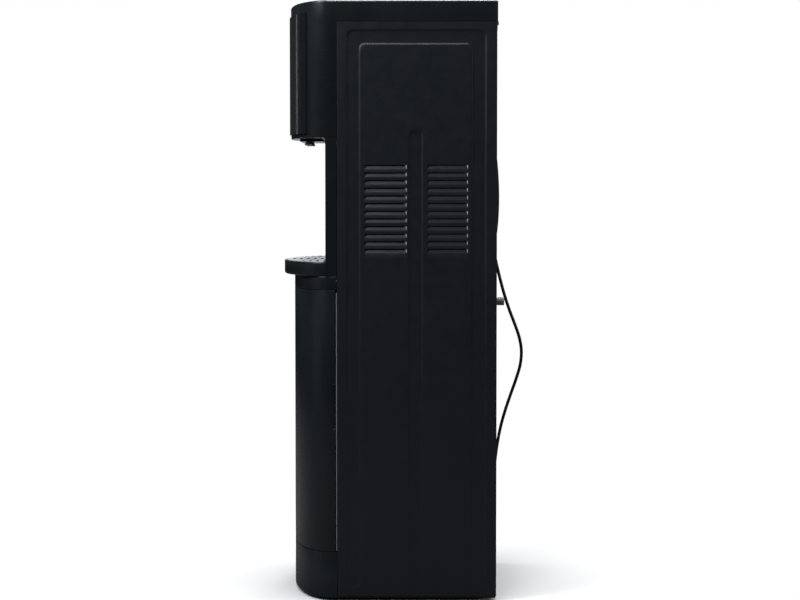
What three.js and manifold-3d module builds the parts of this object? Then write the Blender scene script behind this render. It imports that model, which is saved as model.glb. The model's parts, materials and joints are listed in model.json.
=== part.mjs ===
// Floor-standing, bottom-loading water dispenser.
// Millimetres. +Z up, front of the cabinet towards -Y, origin on the floor under the middle.
import * as THREE from 'three';
import { mergeVertices } from 'three/addons/utils/BufferGeometryUtils.js';
import Module from 'manifold-3d';

const wasm = await Module();
wasm.setup();

// ---- Driving dimensions -------------------------------------------------------------------
const HALF = 155; // half the cabinet's width
const HEIGHT = 1040;
const REAR = 177; // rear edge of the steel sides
const COVER_REAR = 178.2;
const SIDE_FRONT = -99.4; // front edge of the steel sides
const MOULD_REAR = -99.8; // where the front mouldings stop, just short of the steel sides
const BOW = -108.4; // the front mouldings are half ellipses about this line
const HEAD_FRONT = -186.5;
const DOOR_FRONT = -180.5;
const TRAY_FRONT = -199;
const COLUMN_FACE = -119.3; // back wall of the dispensing recess
const SHEET = 1; // side sheet thickness
const WALL = 3; // moulded wall thickness
const GAP = 0.4; // clearance between neighbours

const FOOT = 4.7;
const KICK_BOTTOM = 5;
const PAN = 2.7; // thickness of the base under the cabinet
const KICK_TOP = 85.2;
const BAY_FLOOR = 81;
const DOOR_BOTTOM = 86.2;
const DOOR_TOP = 541.1;
const HOUSING_BOTTOM = 541.9;
const HOUSING_TOP = 565;
const TRAY_TOP = 589.5;
const GRATE_TOP = 590.3;
const DECK = 602; // top of the compressor deck
const HEAD_BOTTOM = 805;
const SIDE_BOTTOM = 8;
const SIDE_TOP = 1003.2;

const HINGE = { x: -146.5, y: -121.2, radius: 2.2, hole: 2.7 };
const PULL = { bottom: 298.5, top: 379, front: -108, side: 150 };
const VENT = {
  rows: 12, first: 608.8, pitch: 13.18, slot: 7.8, rise: 7.2, lean: 3.2,
  columns: [[-52.4, 21.3], [56.5, 126.7]],
};
const GRATE_INSET = 4.4;
const SLOT = {
  rows: 5, first: -131.5, pitch: 12.6, column: 108, shift: 3.2,
  halfLength: 19, halfWidth: 2.3, margin: 7, shortest: 8,
};
const NOZZLE = { y: -153.2, pitch: 36, tip: 794.8, radius: 7.8 };
const KEY = { z: 985, pitch: 42, halfWidth: 16, halfHeight: 7, depth: 10, gap: 0.5, sunk: 0.2 };
const LOCK = { z: 1006, radius: 5.5 };
const FASCIA = { bottom: 812, top: 1021, reach: 130, proud: 2.5 };
const CONDENSER_BAY = { half: 98, bottom: 612, top: 962, floor: 152 };
const CORD_WELL = { x0: -139, x1: -109, bottom: 842, top: 906, floor: 150 };
const DRAIN_Z = 512.4;
const SWITCH = { x: 121, z: 890 };
const COLD = { x: -52, y: 17 };
const HOT = { x: 95, y: -20 };
const PUMP = { x: 125, y: -55 };
const PROBE = { x: 130, y: 152 };

// ---- Power cord: hand-placed route, then a tied coil on the floor behind the cabinet ---------
const CORD_RADIUS = 3;
const CORD_ROUTE = [
  [-124, 176.5, 868], [-124, 181.5, 835], [-124, 186, 805], [-124, 189.8, 775],
  [-124, 192.8, 740], [-124, 194, 695], [-124, 192, 650], [-124, 188, 618],
  [-124, 186.5, 601], [-124, 191, 580], [-124, 198.2, 550], [-124, 206.3, 520],
  [-124, 216, 490], [-124, 227.4, 460], [-125.5, 235.6, 436], [-130, 240, 411],
  [-135.5, 238.5, 384], [-139.5, 231, 356], [-142, 221.5, 328], [-143.2, 211.5, 298],
  [-143.8, 202.5, 266], [-144, 195.5, 230], [-144, 190.5, 190], [-144, 187.6, 145],
  [-144, 186.4, 100], [-144, 186, 66], [-144, 186, 39.3], [-146.7, 186, 25.5],
  [-154.5, 186, 13.8], [-166.2, 186, 6], [-180, 186, 3.3], [-193, 186, 3.3],
  [-206, 186, 3.3], [-220.6, 183.4, 3.3], [-230.5, 178.3, 3.3],
];
const COIL = { x: -206, y: 143, inner: 26.6, outer: 39.4, bottom: 0.2, top: 12.8 };
const PLUG = { x: -242.2, z: 9.5, cordEnd: 101.4 };
const CORD_TAIL = [[PLUG.x, 121.4, PLUG.z], [PLUG.x, 112, PLUG.z], [PLUG.x, PLUG.cordEnd, PLUG.z]];

// ---- Materials ------------------------------------------------------------------------------
const finish = (color, roughness, metalness = 0) =>
  new THREE.MeshStandardMaterial({ color, roughness, metalness });
const MATERIALS = {
  steelBlack: finish(0x15171a, 0.45, 0.1),
  plasticBlack: finish(0x121418, 0.5),
  glossBlack: finish(0x0b0c0e, 0.12),
  stainless: finish(0xc4c6c8, 0.3, 1),
  galvanised: finish(0x9a9da0, 0.45, 0.9),
  copper: finish(0xb5713f, 0.35, 0.9),
  rubber: finish(0x17181a, 0.8),
  whitePlastic: finish(0xd8dad8, 0.5),
  clearGrey: finish(0x8d9498, 0.4),
  foam: finish(0xe6e4da, 0.9),
  silicone: finish(0xc9cfd2, 0.5),
  board: finish(0x1f5a36, 0.5),
  red: finish(0xa3201c, 0.4),
};

// ---- Geometry helpers -----------------------------------------------------------------------
// A closed three.js geometry as a solid that can be joined and cut.
function solid(geometry) {
  const bare = new THREE.BufferGeometry();
  bare.setAttribute('position', geometry.getAttribute('position'));
  bare.setIndex(geometry.index);
  const merged = mergeVertices(bare, 1e-4);
  const index = merged.index.array;
  const kept = [];
  for (let i = 0; i < index.length; i += 3) {
    const [a, b, c] = [index[i], index[i + 1], index[i + 2]];
    if (a !== b && b !== c && c !== a) kept.push(a, b, c);
  }
  return new wasm.Manifold(new wasm.Mesh({
    numProp: 3,
    vertProperties: Float32Array.from(merged.getAttribute('position').array),
    triVerts: Uint32Array.from(kept),
  }));
}

function geometryOf(body) {
  const mesh = body.getMesh();
  const geometry = new THREE.BufferGeometry();
  geometry.setAttribute('position', new THREE.BufferAttribute(mesh.vertProperties, 3));
  geometry.setIndex(new THREE.BufferAttribute(mesh.triVerts, 1));
  geometry.computeVertexNormals();
  return geometry;
}

function box(x0, x1, y0, y1, z0, z1) {
  const geometry = new THREE.BoxGeometry(x1 - x0, y1 - y0, z1 - z0);
  return solid(geometry.translate((x0 + x1) / 2, (y0 + y1) / 2, (z0 + z1) / 2));
}

// The same solid on the other side of the cabinet.
function mirrored(body) {
  const { vertProperties, triVerts } = body.getMesh();
  for (let i = 0; i < vertProperties.length; i += 3) vertProperties[i] *= -1;
  for (let i = 0; i < triVerts.length; i += 3) {
    [triVerts[i], triVerts[i + 1]] = [triVerts[i + 1], triVerts[i]];
  }
  return new wasm.Manifold(new wasm.Mesh({ numProp: 3, vertProperties, triVerts }));
}

const vectors = (points) => points.map(([x, y]) => new THREE.Vector2(x, y));

function extruded(outline, depth) {
  return new THREE.ExtrudeGeometry(new THREE.Shape(vectors(outline)), { depth, bevelEnabled: false });
}

// An outline given as [x, y], standing from z0 to z1.
const upright = (outline, z0, z1) => solid(extruded(outline, z1 - z0).translate(0, 0, z0));

// An outline given as [x, z], running from y0 to y1.
const alongY = (outline, y0, y1) =>
  solid(extruded(outline, y1 - y0).rotateX(Math.PI / 2).translate(0, y1, 0));

// An outline given as [y, z], running from x0 to x1.
function alongX(outline, x0, x1) {
  const turn = new THREE.Matrix4().makeBasis(
    new THREE.Vector3(0, 1, 0), new THREE.Vector3(0, 0, 1), new THREE.Vector3(1, 0, 0));
  return solid(extruded(outline, x1 - x0).applyMatrix4(turn).translate(x0, 0, 0));
}

// A profile of [radius, height] turned about a vertical line through x, y.
function turned(profile, x, y, segments = 16) {
  const geometry = new THREE.LatheGeometry(vectors(profile), segments);
  return solid(geometry.rotateX(Math.PI / 2).translate(x, y, 0));
}

// A profile of [radius, y] turned about a line along Y through x, z.
function turnedAlongY(profile, x, z, segments = 16) {
  return solid(new THREE.LatheGeometry(vectors(profile), segments).translate(x, 0, z));
}

const rod = (radius, x, y, z0, z1, segments = 16) =>
  turned([[0, z0], [radius, z0], [radius, z1], [0, z1]], x, y, segments);

const rodAlongY = (radius, x, z, y0, y1, segments = 16) =>
  turnedAlongY([[0, y0], [radius, y0], [radius, y1], [0, y1]], x, z, segments);

// A path whose steps fall on its own points, so that a straight run costs one step.
class Corners extends THREE.Curve {
  constructor(points) {
    super();
    this.points = points;
  }
  getPointAt(u) {
    const at = u * (this.points.length - 1);
    const i = Math.min(Math.floor(at + 1e-9), this.points.length - 2);
    return this.points[i].clone().lerp(this.points[i + 1], at - i);
  }
  getTangentAt(u) {
    const i = Math.round(u * (this.points.length - 1));
    const before = this.points[Math.max(i - 1, 0)];
    const after = this.points[Math.min(i + 1, this.points.length - 1)];
    return after.clone().sub(before).normalize();
  }
}

const circle = (radius, sides) => Array.from({ length: sides }, (_, i) => {
  const angle = (2 * Math.PI * i) / sides;
  return [radius * Math.cos(angle), radius * Math.sin(angle)];
});

const points3 = (route) => route.map(([x, y, z]) => new THREE.Vector3(x, y, z));

function sweep(path, steps, radius, sides) {
  const shape = new THREE.Shape(vectors(circle(radius, sides)));
  return solid(new THREE.ExtrudeGeometry(shape, { steps, extrudePath: path, bevelEnabled: false }));
}

const bentTube = (route, radius, sides = 8) =>
  sweep(new Corners(points3(route)), route.length - 1, radius, sides);

const smoothTube = (route, radius, steps, sides = 8) =>
  sweep(new THREE.CatmullRomCurve3(points3(route)), steps, radius, sides);

// A turned tank with an open neck. Its outside runs from the axis at the bottom up to the neck's rim.
function tank(outside, wall, x, y, segments) {
  const rim = outside.length - 1;
  const middle = (outside[0][1] + outside[rim][1]) / 2;
  const inside = outside.slice(1, rim).map(([radius, z]) => [radius - wall, z + (z < middle ? wall : -wall)]);
  inside.push([outside[rim][0] - wall, outside[rim][1]]);
  return turned([...outside, ...inside.reverse(), [0, outside[0][1] + wall]], x, y, segments);
}

// Outline of a front moulding seen from above: half an ellipse in front, square at the rear.
const BOW_STEPS = 22;
function bowed(front, rear, inset = 0) {
  const outline = [];
  for (let i = 0; i <= BOW_STEPS; i += 1) {
    const angle = Math.PI + (Math.PI * i) / BOW_STEPS;
    outline.push([
      (HALF - inset) * Math.cos(angle),
      BOW + (BOW - front - inset) * Math.sin(angle),
    ]);
  }
  return [...outline, [HALF - inset, rear], [inset - HALF, rear]];
}

// ---- Control plate frame: a tangent plane on the bowed fascia at x ---------------------------
function fasciaFrame(x, z) {
  const a = HALF + FASCIA.proud;
  const b = BOW - HEAD_FRONT + FASCIA.proud;
  const y = BOW - b * Math.sqrt(1 - (x / a) ** 2);
  const out = new THREE.Vector3(x / a ** 2, (y - BOW) / b ** 2, 0).normalize();
  const up = new THREE.Vector3(0, 0, 1);
  const across = new THREE.Vector3().crossVectors(up, out);
  return new THREE.Matrix4().makeBasis(across, up, out).setPosition(x, y, z);
}

// A rounded key outline, or a hole for it, pushed straight into the fascia.
function keyBar(x, z, halfWidth, halfHeight, from, to) {
  const outline = [];
  const straight = halfWidth - halfHeight;
  for (const [centre, start] of [[straight, -90], [-straight, 90]]) {
    for (let i = 0; i <= 6; i += 1) {
      const angle = THREE.MathUtils.degToRad(start + i * 30);
      outline.push([centre + halfHeight * Math.cos(angle), halfHeight * Math.sin(angle)]);
    }
  }
  return solid(extruded(outline, to - from).translate(0, 0, from).applyMatrix4(fasciaFrame(x, z)));
}

function roundKey(x, z, radius, from, to) {
  return solid(extruded(circle(radius, 20), to - from).translate(0, 0, from)
    .applyMatrix4(fasciaFrame(x, z)));
}

function keyHoles() {
  const holes = [-1, 0, 1].map((i) =>
    keyBar(i * KEY.pitch, KEY.z, KEY.halfWidth, KEY.halfHeight, -14, 2));
  holes.push(roundKey(KEY.pitch, LOCK.z, LOCK.radius, -14, 2));
  return holes;
}

// ---- Sub-parts ------------------------------------------------------------------------------
const dispenser = new THREE.Group();

function add(name, body, material) {
  const mesh = new THREE.Mesh(geometryOf(body), material.clone());
  mesh.name = name;
  dispenser.add(mesh);
}

// An outline with a wall's thickness, open at the rear.
function shell(front, rear, z0, z1) {
  return upright(bowed(front, rear), z0, z1)
    .subtract(upright(bowed(front, rear + 3 * WALL, WALL), z0 - 1, z1 + 1));
}

function baseFrame() {
  const kick = shell(DOOR_FRONT, MOULD_REAR, KICK_BOTTOM, KICK_TOP)
    .add(upright(bowed(DOOR_FRONT, MOULD_REAR, 1), KICK_TOP - WALL, KICK_TOP))
    .add(upright(bowed(DOOR_FRONT, MOULD_REAR, 1), KICK_BOTTOM, KICK_BOTTOM + PAN))
    .subtract(rod(HINGE.hole, HINGE.x, HINGE.y, KICK_TOP - 4, KICK_TOP + 1));
  return kick.add(box(-153.2, 153.2, MOULD_REAR - 1, 176, KICK_BOTTOM, KICK_BOTTOM + PAN));
}

function feet() {
  for (const [across, x] of [['left', -122], ['right', 122]]) {
    for (const [along, y] of [['front', -88], ['rear', 150]]) {
      const profile = [[0, 0], [15, 0], [17, 1.5], [17, 3.2], [14, FOOT], [0, FOOT]];
      add(`foot_${along}_${across}`, turned(profile, x, y, 20), MATERIALS.rubber);
    }
  }
}

function bayFloor() {
  const half = 151.5;
  return box(-half, half, -97.9, 174, BAY_FLOOR - 2, BAY_FLOOR)
    .add(box(-half, 2 - half, -97.9, 174, KICK_BOTTOM + PAN + GAP, BAY_FLOOR - 1))
    .add(box(half - 2, half, -97.9, 174, KICK_BOTTOM + PAN + GAP, BAY_FLOOR - 1));
}

// A groove pressed into a side sheet, which steps in by the groove's depth over each span.
const GROOVE_DEPTH = 2;
function pressedGroove(sheet, spans) {
  const floor = HALF - GROOVE_DEPTH;
  let body = sheet;
  for (const [y0, y1, z0, z1] of spans) {
    body = body.add(box(floor - SHEET, HALF - 0.1, y0 - SHEET, y1 + SHEET, z0 - SHEET, z1 + SHEET));
  }
  for (const [y0, y1, z0, z1] of spans) body = body.subtract(box(floor, HALF + 1, y0, y1, z0, z1));
  return body;
}

// A slot in a side sheet, and the vane that leans inwards from its lower edge.
function louvre([y0, y1], z) {
  const bottom = z - VENT.slot / 2;
  const top = bottom + VENT.rise;
  const inner = HALF - VENT.lean;
  const profile = [[HALF - SHEET, bottom], [HALF, bottom], [inner, top], [inner - SHEET, top]];
  return {
    slot: box(HALF - 2 * SHEET, HALF + SHEET, y0, y1, bottom, bottom + VENT.slot),
    vane: alongY(profile, y0, y1),
  };
}

function sidePanel() {
  let panel = box(HALF - SHEET, HALF, SIDE_FRONT, REAR, SIDE_BOTTOM, SIDE_TOP)
    .add(box(HALF - 6.5, HALF, SIDE_FRONT, SIDE_FRONT + SHEET, SIDE_BOTTOM, SIDE_TOP))
    .add(box(HALF - 14, HALF, REAR - SHEET, REAR, SIDE_BOTTOM, SIDE_TOP));
  panel = pressedGroove(panel, [
    [-81.8, -60, 25, 988.6], [134.3, 157.5, 25, 988.6], [-81.8, 157.5, 965.2, 988.6],
  ]);
  panel = pressedGroove(panel, [[25.4, 47.9, 25, 817]]);
  for (let row = 0; row < VENT.rows; row += 1) {
    for (const column of VENT.columns) {
      const { slot, vane } = louvre(column, VENT.first + row * VENT.pitch);
      panel = panel.subtract(slot).add(vane);
    }
  }
  return panel;
}

function rearPanel() {
  const [inner, outer, t] = [174.5, 175.7, 1.2];
  const bay = CONDENSER_BAY;
  const well = CORD_WELL;
  return box(-153.6, 153.6, inner, outer, 12, 989)
    .add(box(-bay.half - t, bay.half + t, bay.floor - t, inner + 0.5, bay.bottom - t, bay.top + t))
    .subtract(box(-bay.half, bay.half, bay.floor, outer + 1, bay.bottom, bay.top))
    .add(box(well.x0 - t, well.x1 + t, well.floor - t, inner + 0.5, well.bottom - t, well.top + t))
    .subtract(box(well.x0, well.x1, well.floor, outer + 1, well.bottom, well.top))
    .subtract(rodAlongY(7, 0, DRAIN_Z, 170, 180))
    .subtract(box(SWITCH.x - 11, SWITCH.x + 11, 170, 180, SWITCH.z - 20, SWITCH.z + 20));
}

function headCover() {
  const top = upright(bowed(HEAD_FRONT, COVER_REAR), SIDE_TOP + GAP, HEIGHT)
    .subtract(upright(bowed(HEAD_FRONT, COVER_REAR - WALL, WALL), SIDE_TOP - 1, HEIGHT - WALL));
  const front = upright(bowed(HEAD_FRONT, MOULD_REAR), HEAD_BOTTOM, SIDE_TOP + 7)
    .subtract(upright(bowed(HEAD_FRONT, MOULD_REAR + 3 * WALL, WALL), HEAD_BOTTOM + WALL, SIDE_TOP + 8));
  let cover = top.add(front)
    .add(box(-139, 139, COVER_REAR - WALL, COVER_REAR, 990, 1006))
    .subtract(box(-60, 60, -168.6, -128, HEAD_BOTTOM - 1, HEAD_BOTTOM + WALL + 1));
  for (const hole of keyHoles()) cover = cover.subtract(hole);
  for (const x of [-132, 132]) cover = cover.subtract(rodAlongY(2.2, x, 1002.6, 170, 190, 12));
  return cover;
}

function fascia() {
  const curve = (proud) => Array.from({ length: 23 }, (_, i) => {
    const x = FASCIA.reach * (i / 11 - 1);
    const a = HALF + proud;
    return [x, BOW - (BOW - HEAD_FRONT + proud) * Math.sqrt(1 - (x / a) ** 2)];
  });
  let plate = upright([...curve(FASCIA.proud), ...curve(0.3).reverse()], FASCIA.bottom, FASCIA.top);
  for (const hole of keyHoles()) plate = plate.subtract(hole);
  return plate;
}

function keys() {
  [['cold', -1], ['room', 0], ['hot', 1]].forEach(([name, i]) => {
    const [halfWidth, halfHeight] = [KEY.halfWidth - KEY.gap, KEY.halfHeight - KEY.gap];
    const key = keyBar(i * KEY.pitch, KEY.z, halfWidth, halfHeight, -KEY.depth, -KEY.sunk);
    add(`button_${name}`, key, MATERIALS.glossBlack);
  });
  const lock = roundKey(KEY.pitch, LOCK.z, LOCK.radius - KEY.gap, -KEY.depth, -KEY.sunk);
  add('button_child_lock', lock, MATERIALS.red);
}

function nozzles() {
  let block = box(-58, 58, -168.2, -128.4, 800.6, 822);
  [['cold', -1], ['room', 0], ['hot', 1]].forEach(([name, i]) => {
    const x = i * NOZZLE.pitch;
    block = block.subtract(rod(5, x, NOZZLE.y, 799, 823, 20));
    const profile = [[3.2, NOZZLE.tip], [NOZZLE.radius, NOZZLE.tip], [NOZZLE.radius, 797], [6.4, 798.4],
      [6.4, 800.2], [4.6, 800.2], [4.6, 826], [3.2, 826], [3.2, NOZZLE.tip]];
    add(`nozzle_${name}`, turned(profile, x, NOZZLE.y, 20), MATERIALS.plasticBlack);
    const valve = rod(11, x, -140, 842, 876).add(rod(4.5, x, -140, 836, 843))
      .add(rodAlongY(3.5, x, 860, -129.5, -122)).add(box(x - 9, x + 9, -151.5, -145, 846, 872));
    add(`valve_${name}`, valve, MATERIALS.whitePlastic);
  });
  add('nozzle_block', block, MATERIALS.plasticBlack);
}

function frontColumn() {
  return box(-HALF, HALF, COLUMN_FACE, COLUMN_FACE + WALL, HOUSING_TOP + GAP, HEAD_BOTTOM - GAP)
    .add(box(-HALF, WALL - HALF, COLUMN_FACE, MOULD_REAR, HOUSING_TOP + GAP, HEAD_BOTTOM - GAP))
    .add(box(HALF - WALL, HALF, COLUMN_FACE, MOULD_REAR, HOUSING_TOP + GAP, HEAD_BOTTOM - GAP));
}

function trayHousing() {
  return shell(DOOR_FRONT, MOULD_REAR, HOUSING_BOTTOM, HOUSING_TOP)
    .add(upright(bowed(DOOR_FRONT, MOULD_REAR, 1), HOUSING_TOP - WALL, HOUSING_TOP));
}

// The drip tray and its grate share an outline that stops at the recess wall.
function trayOutline(inset, z0, z1) {
  return upright(bowed(TRAY_FRONT, -100, inset), z0, z1)
    .intersect(box(-160, 160, -210, COLUMN_FACE - GAP - inset, z0 - 1, z1 + 1));
}

function dripTray() {
  return trayOutline(0, HOUSING_TOP + GAP, TRAY_TOP)
    .subtract(trayOutline(4, 588, TRAY_TOP + 1))
    .subtract(trayOutline(8, 568, 589));
}

// Three columns of slots, each column a little nearer the front than the last and kept inside the rim.
function dripGrate() {
  let grate = trayOutline(GRATE_INSET, 588.3, GRATE_TOP);
  const rim = { x: HALF - GRATE_INSET, y: BOW - TRAY_FRONT - GRATE_INSET };
  for (const column of [-1, 0, 1]) {
    for (let row = 0; row < SLOT.rows; row += 1) {
      const middle = SLOT.first - column * SLOT.shift - row * SLOT.pitch;
      const [y0, y1] = [middle - SLOT.halfWidth, middle + SLOT.halfWidth];
      const reach = rim.x * Math.sqrt(1 - ((BOW - y0) / rim.y) ** 2) - SLOT.margin;
      const x0 = Math.max(column * SLOT.column - SLOT.halfLength, -reach);
      const x1 = Math.min(column * SLOT.column + SLOT.halfLength, reach);
      if (x1 - x0 > SLOT.shortest) grate = grate.subtract(box(x0, x1, y0, y1, 587, 592));
    }
  }
  return grate;
}

// The door's rear corners are cut off, so that they turn clear of the cabinet's sides.
function door() {
  const rear = SIDE_FRONT - 1.8;
  const chamfer = 2;
  const skin = 2.6;
  const outline = [...bowed(DOOR_FRONT, rear).slice(0, -2), [HALF, rear - chamfer],
    [HALF - chamfer, rear], [chamfer - HALF, rear], [-HALF, rear - chamfer]];
  return upright(outline, DOOR_BOTTOM, DOOR_TOP)
    .subtract(upright(bowed(DOOR_FRONT, rear + 3 * WALL, skin), DOOR_BOTTOM + WALL, DOOR_TOP - WALL))
    .subtract(rod(HINGE.hole, HINGE.x, HINGE.y, DOOR_BOTTOM - 1, DOOR_BOTTOM + WALL + 1))
    .subtract(rod(HINGE.hole, HINGE.x, HINGE.y, DOOR_TOP - WALL - 1, DOOR_TOP + 1))
    .subtract(box(PULL.side, HALF + 2, PULL.front, rear + 2, PULL.bottom, PULL.top));
}

// A steel leaf inside the moulding above or below the door, with the pin that the door turns on.
function hingeLeaf(z0, z1, pinEnd) {
  const leaf = box(-152, -118, -134, -104, z0, z1)
    .intersect(upright(bowed(DOOR_FRONT, -100, WALL + GAP), z0 - 1, z1 + 1));
  return leaf.add(rod(HINGE.radius, HINGE.x, HINGE.y, Math.min(z0, pinEnd), Math.max(z1, pinEnd)));
}

function frontRail() {
  return box(-148, 148, -97.5, -84, 545, 575).subtract(box(-149, 149, -95.5, -83, 547, 573));
}

function tanks() {
  const wall = 1.5;
  const foam = box(-142, 38, -78, 112, 775, 972).subtract(rod(68, COLD.x, COLD.y, 787, 980, 28));
  add('cold_tank_foam', foam, MATERIALS.foam);
  const cold = [[0, 788], [62, 788], [66, 793], [66, 968], [60, 976], [9, 980], [9, 992]];
  add('cold_tank', tank(cold, wall, COLD.x, COLD.y, 28), MATERIALS.stainless);
  const hot = [[0, 790], [40, 790], [45, 795], [45, 945], [40, 951], [8, 953], [8, 966]];
  add('hot_tank', tank(hot, wall, HOT.x, HOT.y, 24), MATERIALS.stainless);
}

function refrigeration() {
  const can = [[0, 619], [52, 619], [60, 628], [62, 645], [62, 700], [60, 728], [46, 748], [20, 757],
    [8, 758], [8, 764]];
  const base = box(-22, 112, 5, 85, 614, 617).add(rod(50, 45, 45, 616, 621, 28));
  let compressor = tank(can, 4, 45, 45, 28).add(base);
  for (const [x, y] of [[-14, 13], [104, 13], [-14, 77], [104, 77]]) {
    compressor = compressor.add(rod(6, x, y, DECK + 0.3, 615, 10));
  }
  add('compressor', compressor, MATERIALS.steelBlack);
  const passes = 12;
  const route = [];
  for (let i = 0; i < passes; i += 1) {
    const [side, z] = [i % 2 ? 1 : -1, 640 + i * 26];
    route.push([-72 * side, 164, z], [72 * side, 164, z]);
    if (i === passes - 1) break;
    route.push([81 * side, 164, z + 4], [85 * side, 164, z + 13], [81 * side, 164, z + 22]);
  }
  add('condenser', bentTube(route, 2.4), MATERIALS.steelBlack);
  add('filter_drier', turned([[0, 640], [3, 640], [9, 648], [9, 720], [3, 728], [0, 728]], -70, 100),
    MATERIALS.copper);
}

function waterPath() {
  const pump = [[0, DECK + GAP], [20, DECK + GAP], [20, 640], [12, 645], [12, 656], [5, 658], [5, 664],
    [0, 664]];
  add('water_pump', turned(pump, PUMP.x, PUMP.y, 20), MATERIALS.whitePlastic);
  const probe = [[0, 96], [6, 96], [6, 528], [13, 530], [17, 534], [17, 556], [12, 560], [5, 561],
    [5, 568], [0, 568]];
  add('bottle_probe', turned(probe, PROBE.x, PROBE.y, 20), MATERIALS.silicone);
  const hanger = box(112, 151.5, 140, 164, 478, 486)
    .subtract(rod(6.6, PROBE.x, PROBE.y, 470, 490, 20))
    .subtract(box(PROBE.x - 4.5, PROBE.x + 4.5, 130, PROBE.y, 470, 490));
  add('probe_hanger', hanger, MATERIALS.plasticBlack);
  const supply = [[PROBE.x, PROBE.y, 568.4], [130, 152.4, 580], [130, 160, 610], [130, 162, 645],
    [129, 148, 688], [128, 110, 706], [127, 40, 710], [126, -20, 705], [125, -51, 688],
    [PUMP.x, PUMP.y, 676], [PUMP.x, PUMP.y, 664.5]];
  add('supply_hose', smoothTube(supply, 5, 40), MATERIALS.silicone);
  const cold = [[-NOZZLE.pitch, -121.6, 860], [-36, -112, 860], [-38, -96, 880], [-46, -88, 940],
    [-50, -84, 985], [-52, -62, 1008], [-52, -12, 1014], [-52, 13, 1010],
    [COLD.x, COLD.y, 1002], [COLD.x, COLD.y, 992.4]];
  add('cold_line', smoothTube(cold, 3.5, 36), MATERIALS.silicone);
  const hot = [[NOZZLE.pitch, -121.6, 860], [36, -112, 860], [42, -98, 876], [62, -84, 920], [86, -66, 970],
    [95, -40, 990], [95, -23, 986], [HOT.x, HOT.y, 977], [HOT.x, HOT.y, 966.4]];
  add('hot_line', smoothTube(hot, 3.5, 30), MATERIALS.silicone);
}

function electrics() {
  add('control_board', box(-62, 62, -171, -169.4, 948, 1018), MATERIALS.board);
  const bezel = box(SWITCH.x - 14, SWITCH.x + 14, 176, 178, SWITCH.z - 24, SWITCH.z + 24)
    .add(box(SWITCH.x - 10.6, SWITCH.x + 10.6, 160, 177, SWITCH.z - 19.6, SWITCH.z + 19.6))
    .subtract(box(SWITCH.x - 8, SWITCH.x + 8, 166, 180, SWITCH.z + 1, SWITCH.z + 17))
    .subtract(box(SWITCH.x - 8, SWITCH.x + 8, 166, 180, SWITCH.z - 17, SWITCH.z - 1));
  add('switch_bezel', bezel, MATERIALS.plasticBlack);
  for (const [name, z] of [['hot', SWITCH.z + 9], ['cold', SWITCH.z - 9]]) {
    const outline = [[-3.5, -4.5], [-3.5, 4.5], [3, 7], [2.2, 0], [3, -7]];
    const tilt = THREE.MathUtils.degToRad(8);
    const rocker = outline.map(([y, rise]) => [
      174 + y * Math.cos(tilt) - rise * Math.sin(tilt),
      z + y * Math.sin(tilt) + rise * Math.cos(tilt),
    ]);
    add(`rocker_${name}`, alongX(rocker, SWITCH.x - 7.5, SWITCH.x + 7.5),
      name === 'hot' ? MATERIALS.red : MATERIALS.plasticBlack);
  }
}

function drain() {
  const outlet = [[3.9, 164], [6, 164], [6, 176], [9.3, 176], [9.3, 181.5], [7.2, 184], [7.2, 187],
    [3.9, 187], [3.9, 164]];
  add('drain_outlet', turnedAlongY(outlet, 0, DRAIN_Z, 20), MATERIALS.clearGrey);
  const plug = [[0, 172], [3.4, 172], [3.4, 187.4], [7.5, 187.4], [7.5, 198], [6.5, 199], [0, 199]];
  add('drain_plug', turnedAlongY(plug, 0, DRAIN_Z, 20), MATERIALS.clearGrey);
}

// The taper that the cord leaves the well through, pointing down and slightly back.
function cordGland() {
  const [top, end] = [new THREE.Vector3(-124, 171.1, 904.4), new THREE.Vector3(-124, 176.45, 868.4)];
  const length = top.distanceTo(end);
  const profile = vectors([[0, 0], [8, 0], [8, 8], [5.6, 12], [4.2, length], [0, length]]);
  const geometry = new THREE.LatheGeometry(profile, 16);
  const turn = new THREE.Quaternion().setFromUnitVectors(
    new THREE.Vector3(0, 1, 0), end.clone().sub(top).normalize());
  return solid(geometry.applyQuaternion(turn).translate(top.x, top.y, top.z));
}

function cordClip() {
  return rod(4.7, -124, 186.6, 597, 605, 16).add(box(-127, -121, 176, 186, 597, 605))
    .subtract(rod(3.8, -124, 186.9, 596, 606, 16));
}

function cordCoil() {
  const { inner, outer, bottom, top } = COIL;
  const section = [[inner, bottom], [outer, bottom], [outer, top], [inner, top], [inner, bottom]];
  return turned(section, COIL.x, COIL.y, 32);
}

function plug() {
  const end = PLUG.cordEnd - GAP;
  const body = turnedAlongY([[0, 72], [9, 72], [7, 78], [4.4, end], [0, end]], PLUG.x, PLUG.z, 16)
    .add(box(PLUG.x - 13, PLUG.x + 13, 40, 74, PLUG.z - 9.2, PLUG.z + 9.2));
  return body.add(box(PLUG.x - 7.1, PLUG.x - 5.6, 24, 41, PLUG.z - 6.2, PLUG.z + 0.1))
    .add(box(PLUG.x + 5.6, PLUG.x + 7.1, 24, 41, PLUG.z - 6.2, PLUG.z + 0.1))
    .add(rodAlongY(2.4, PLUG.x, PLUG.z + 5.2, 21, 41, 12));
}

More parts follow.
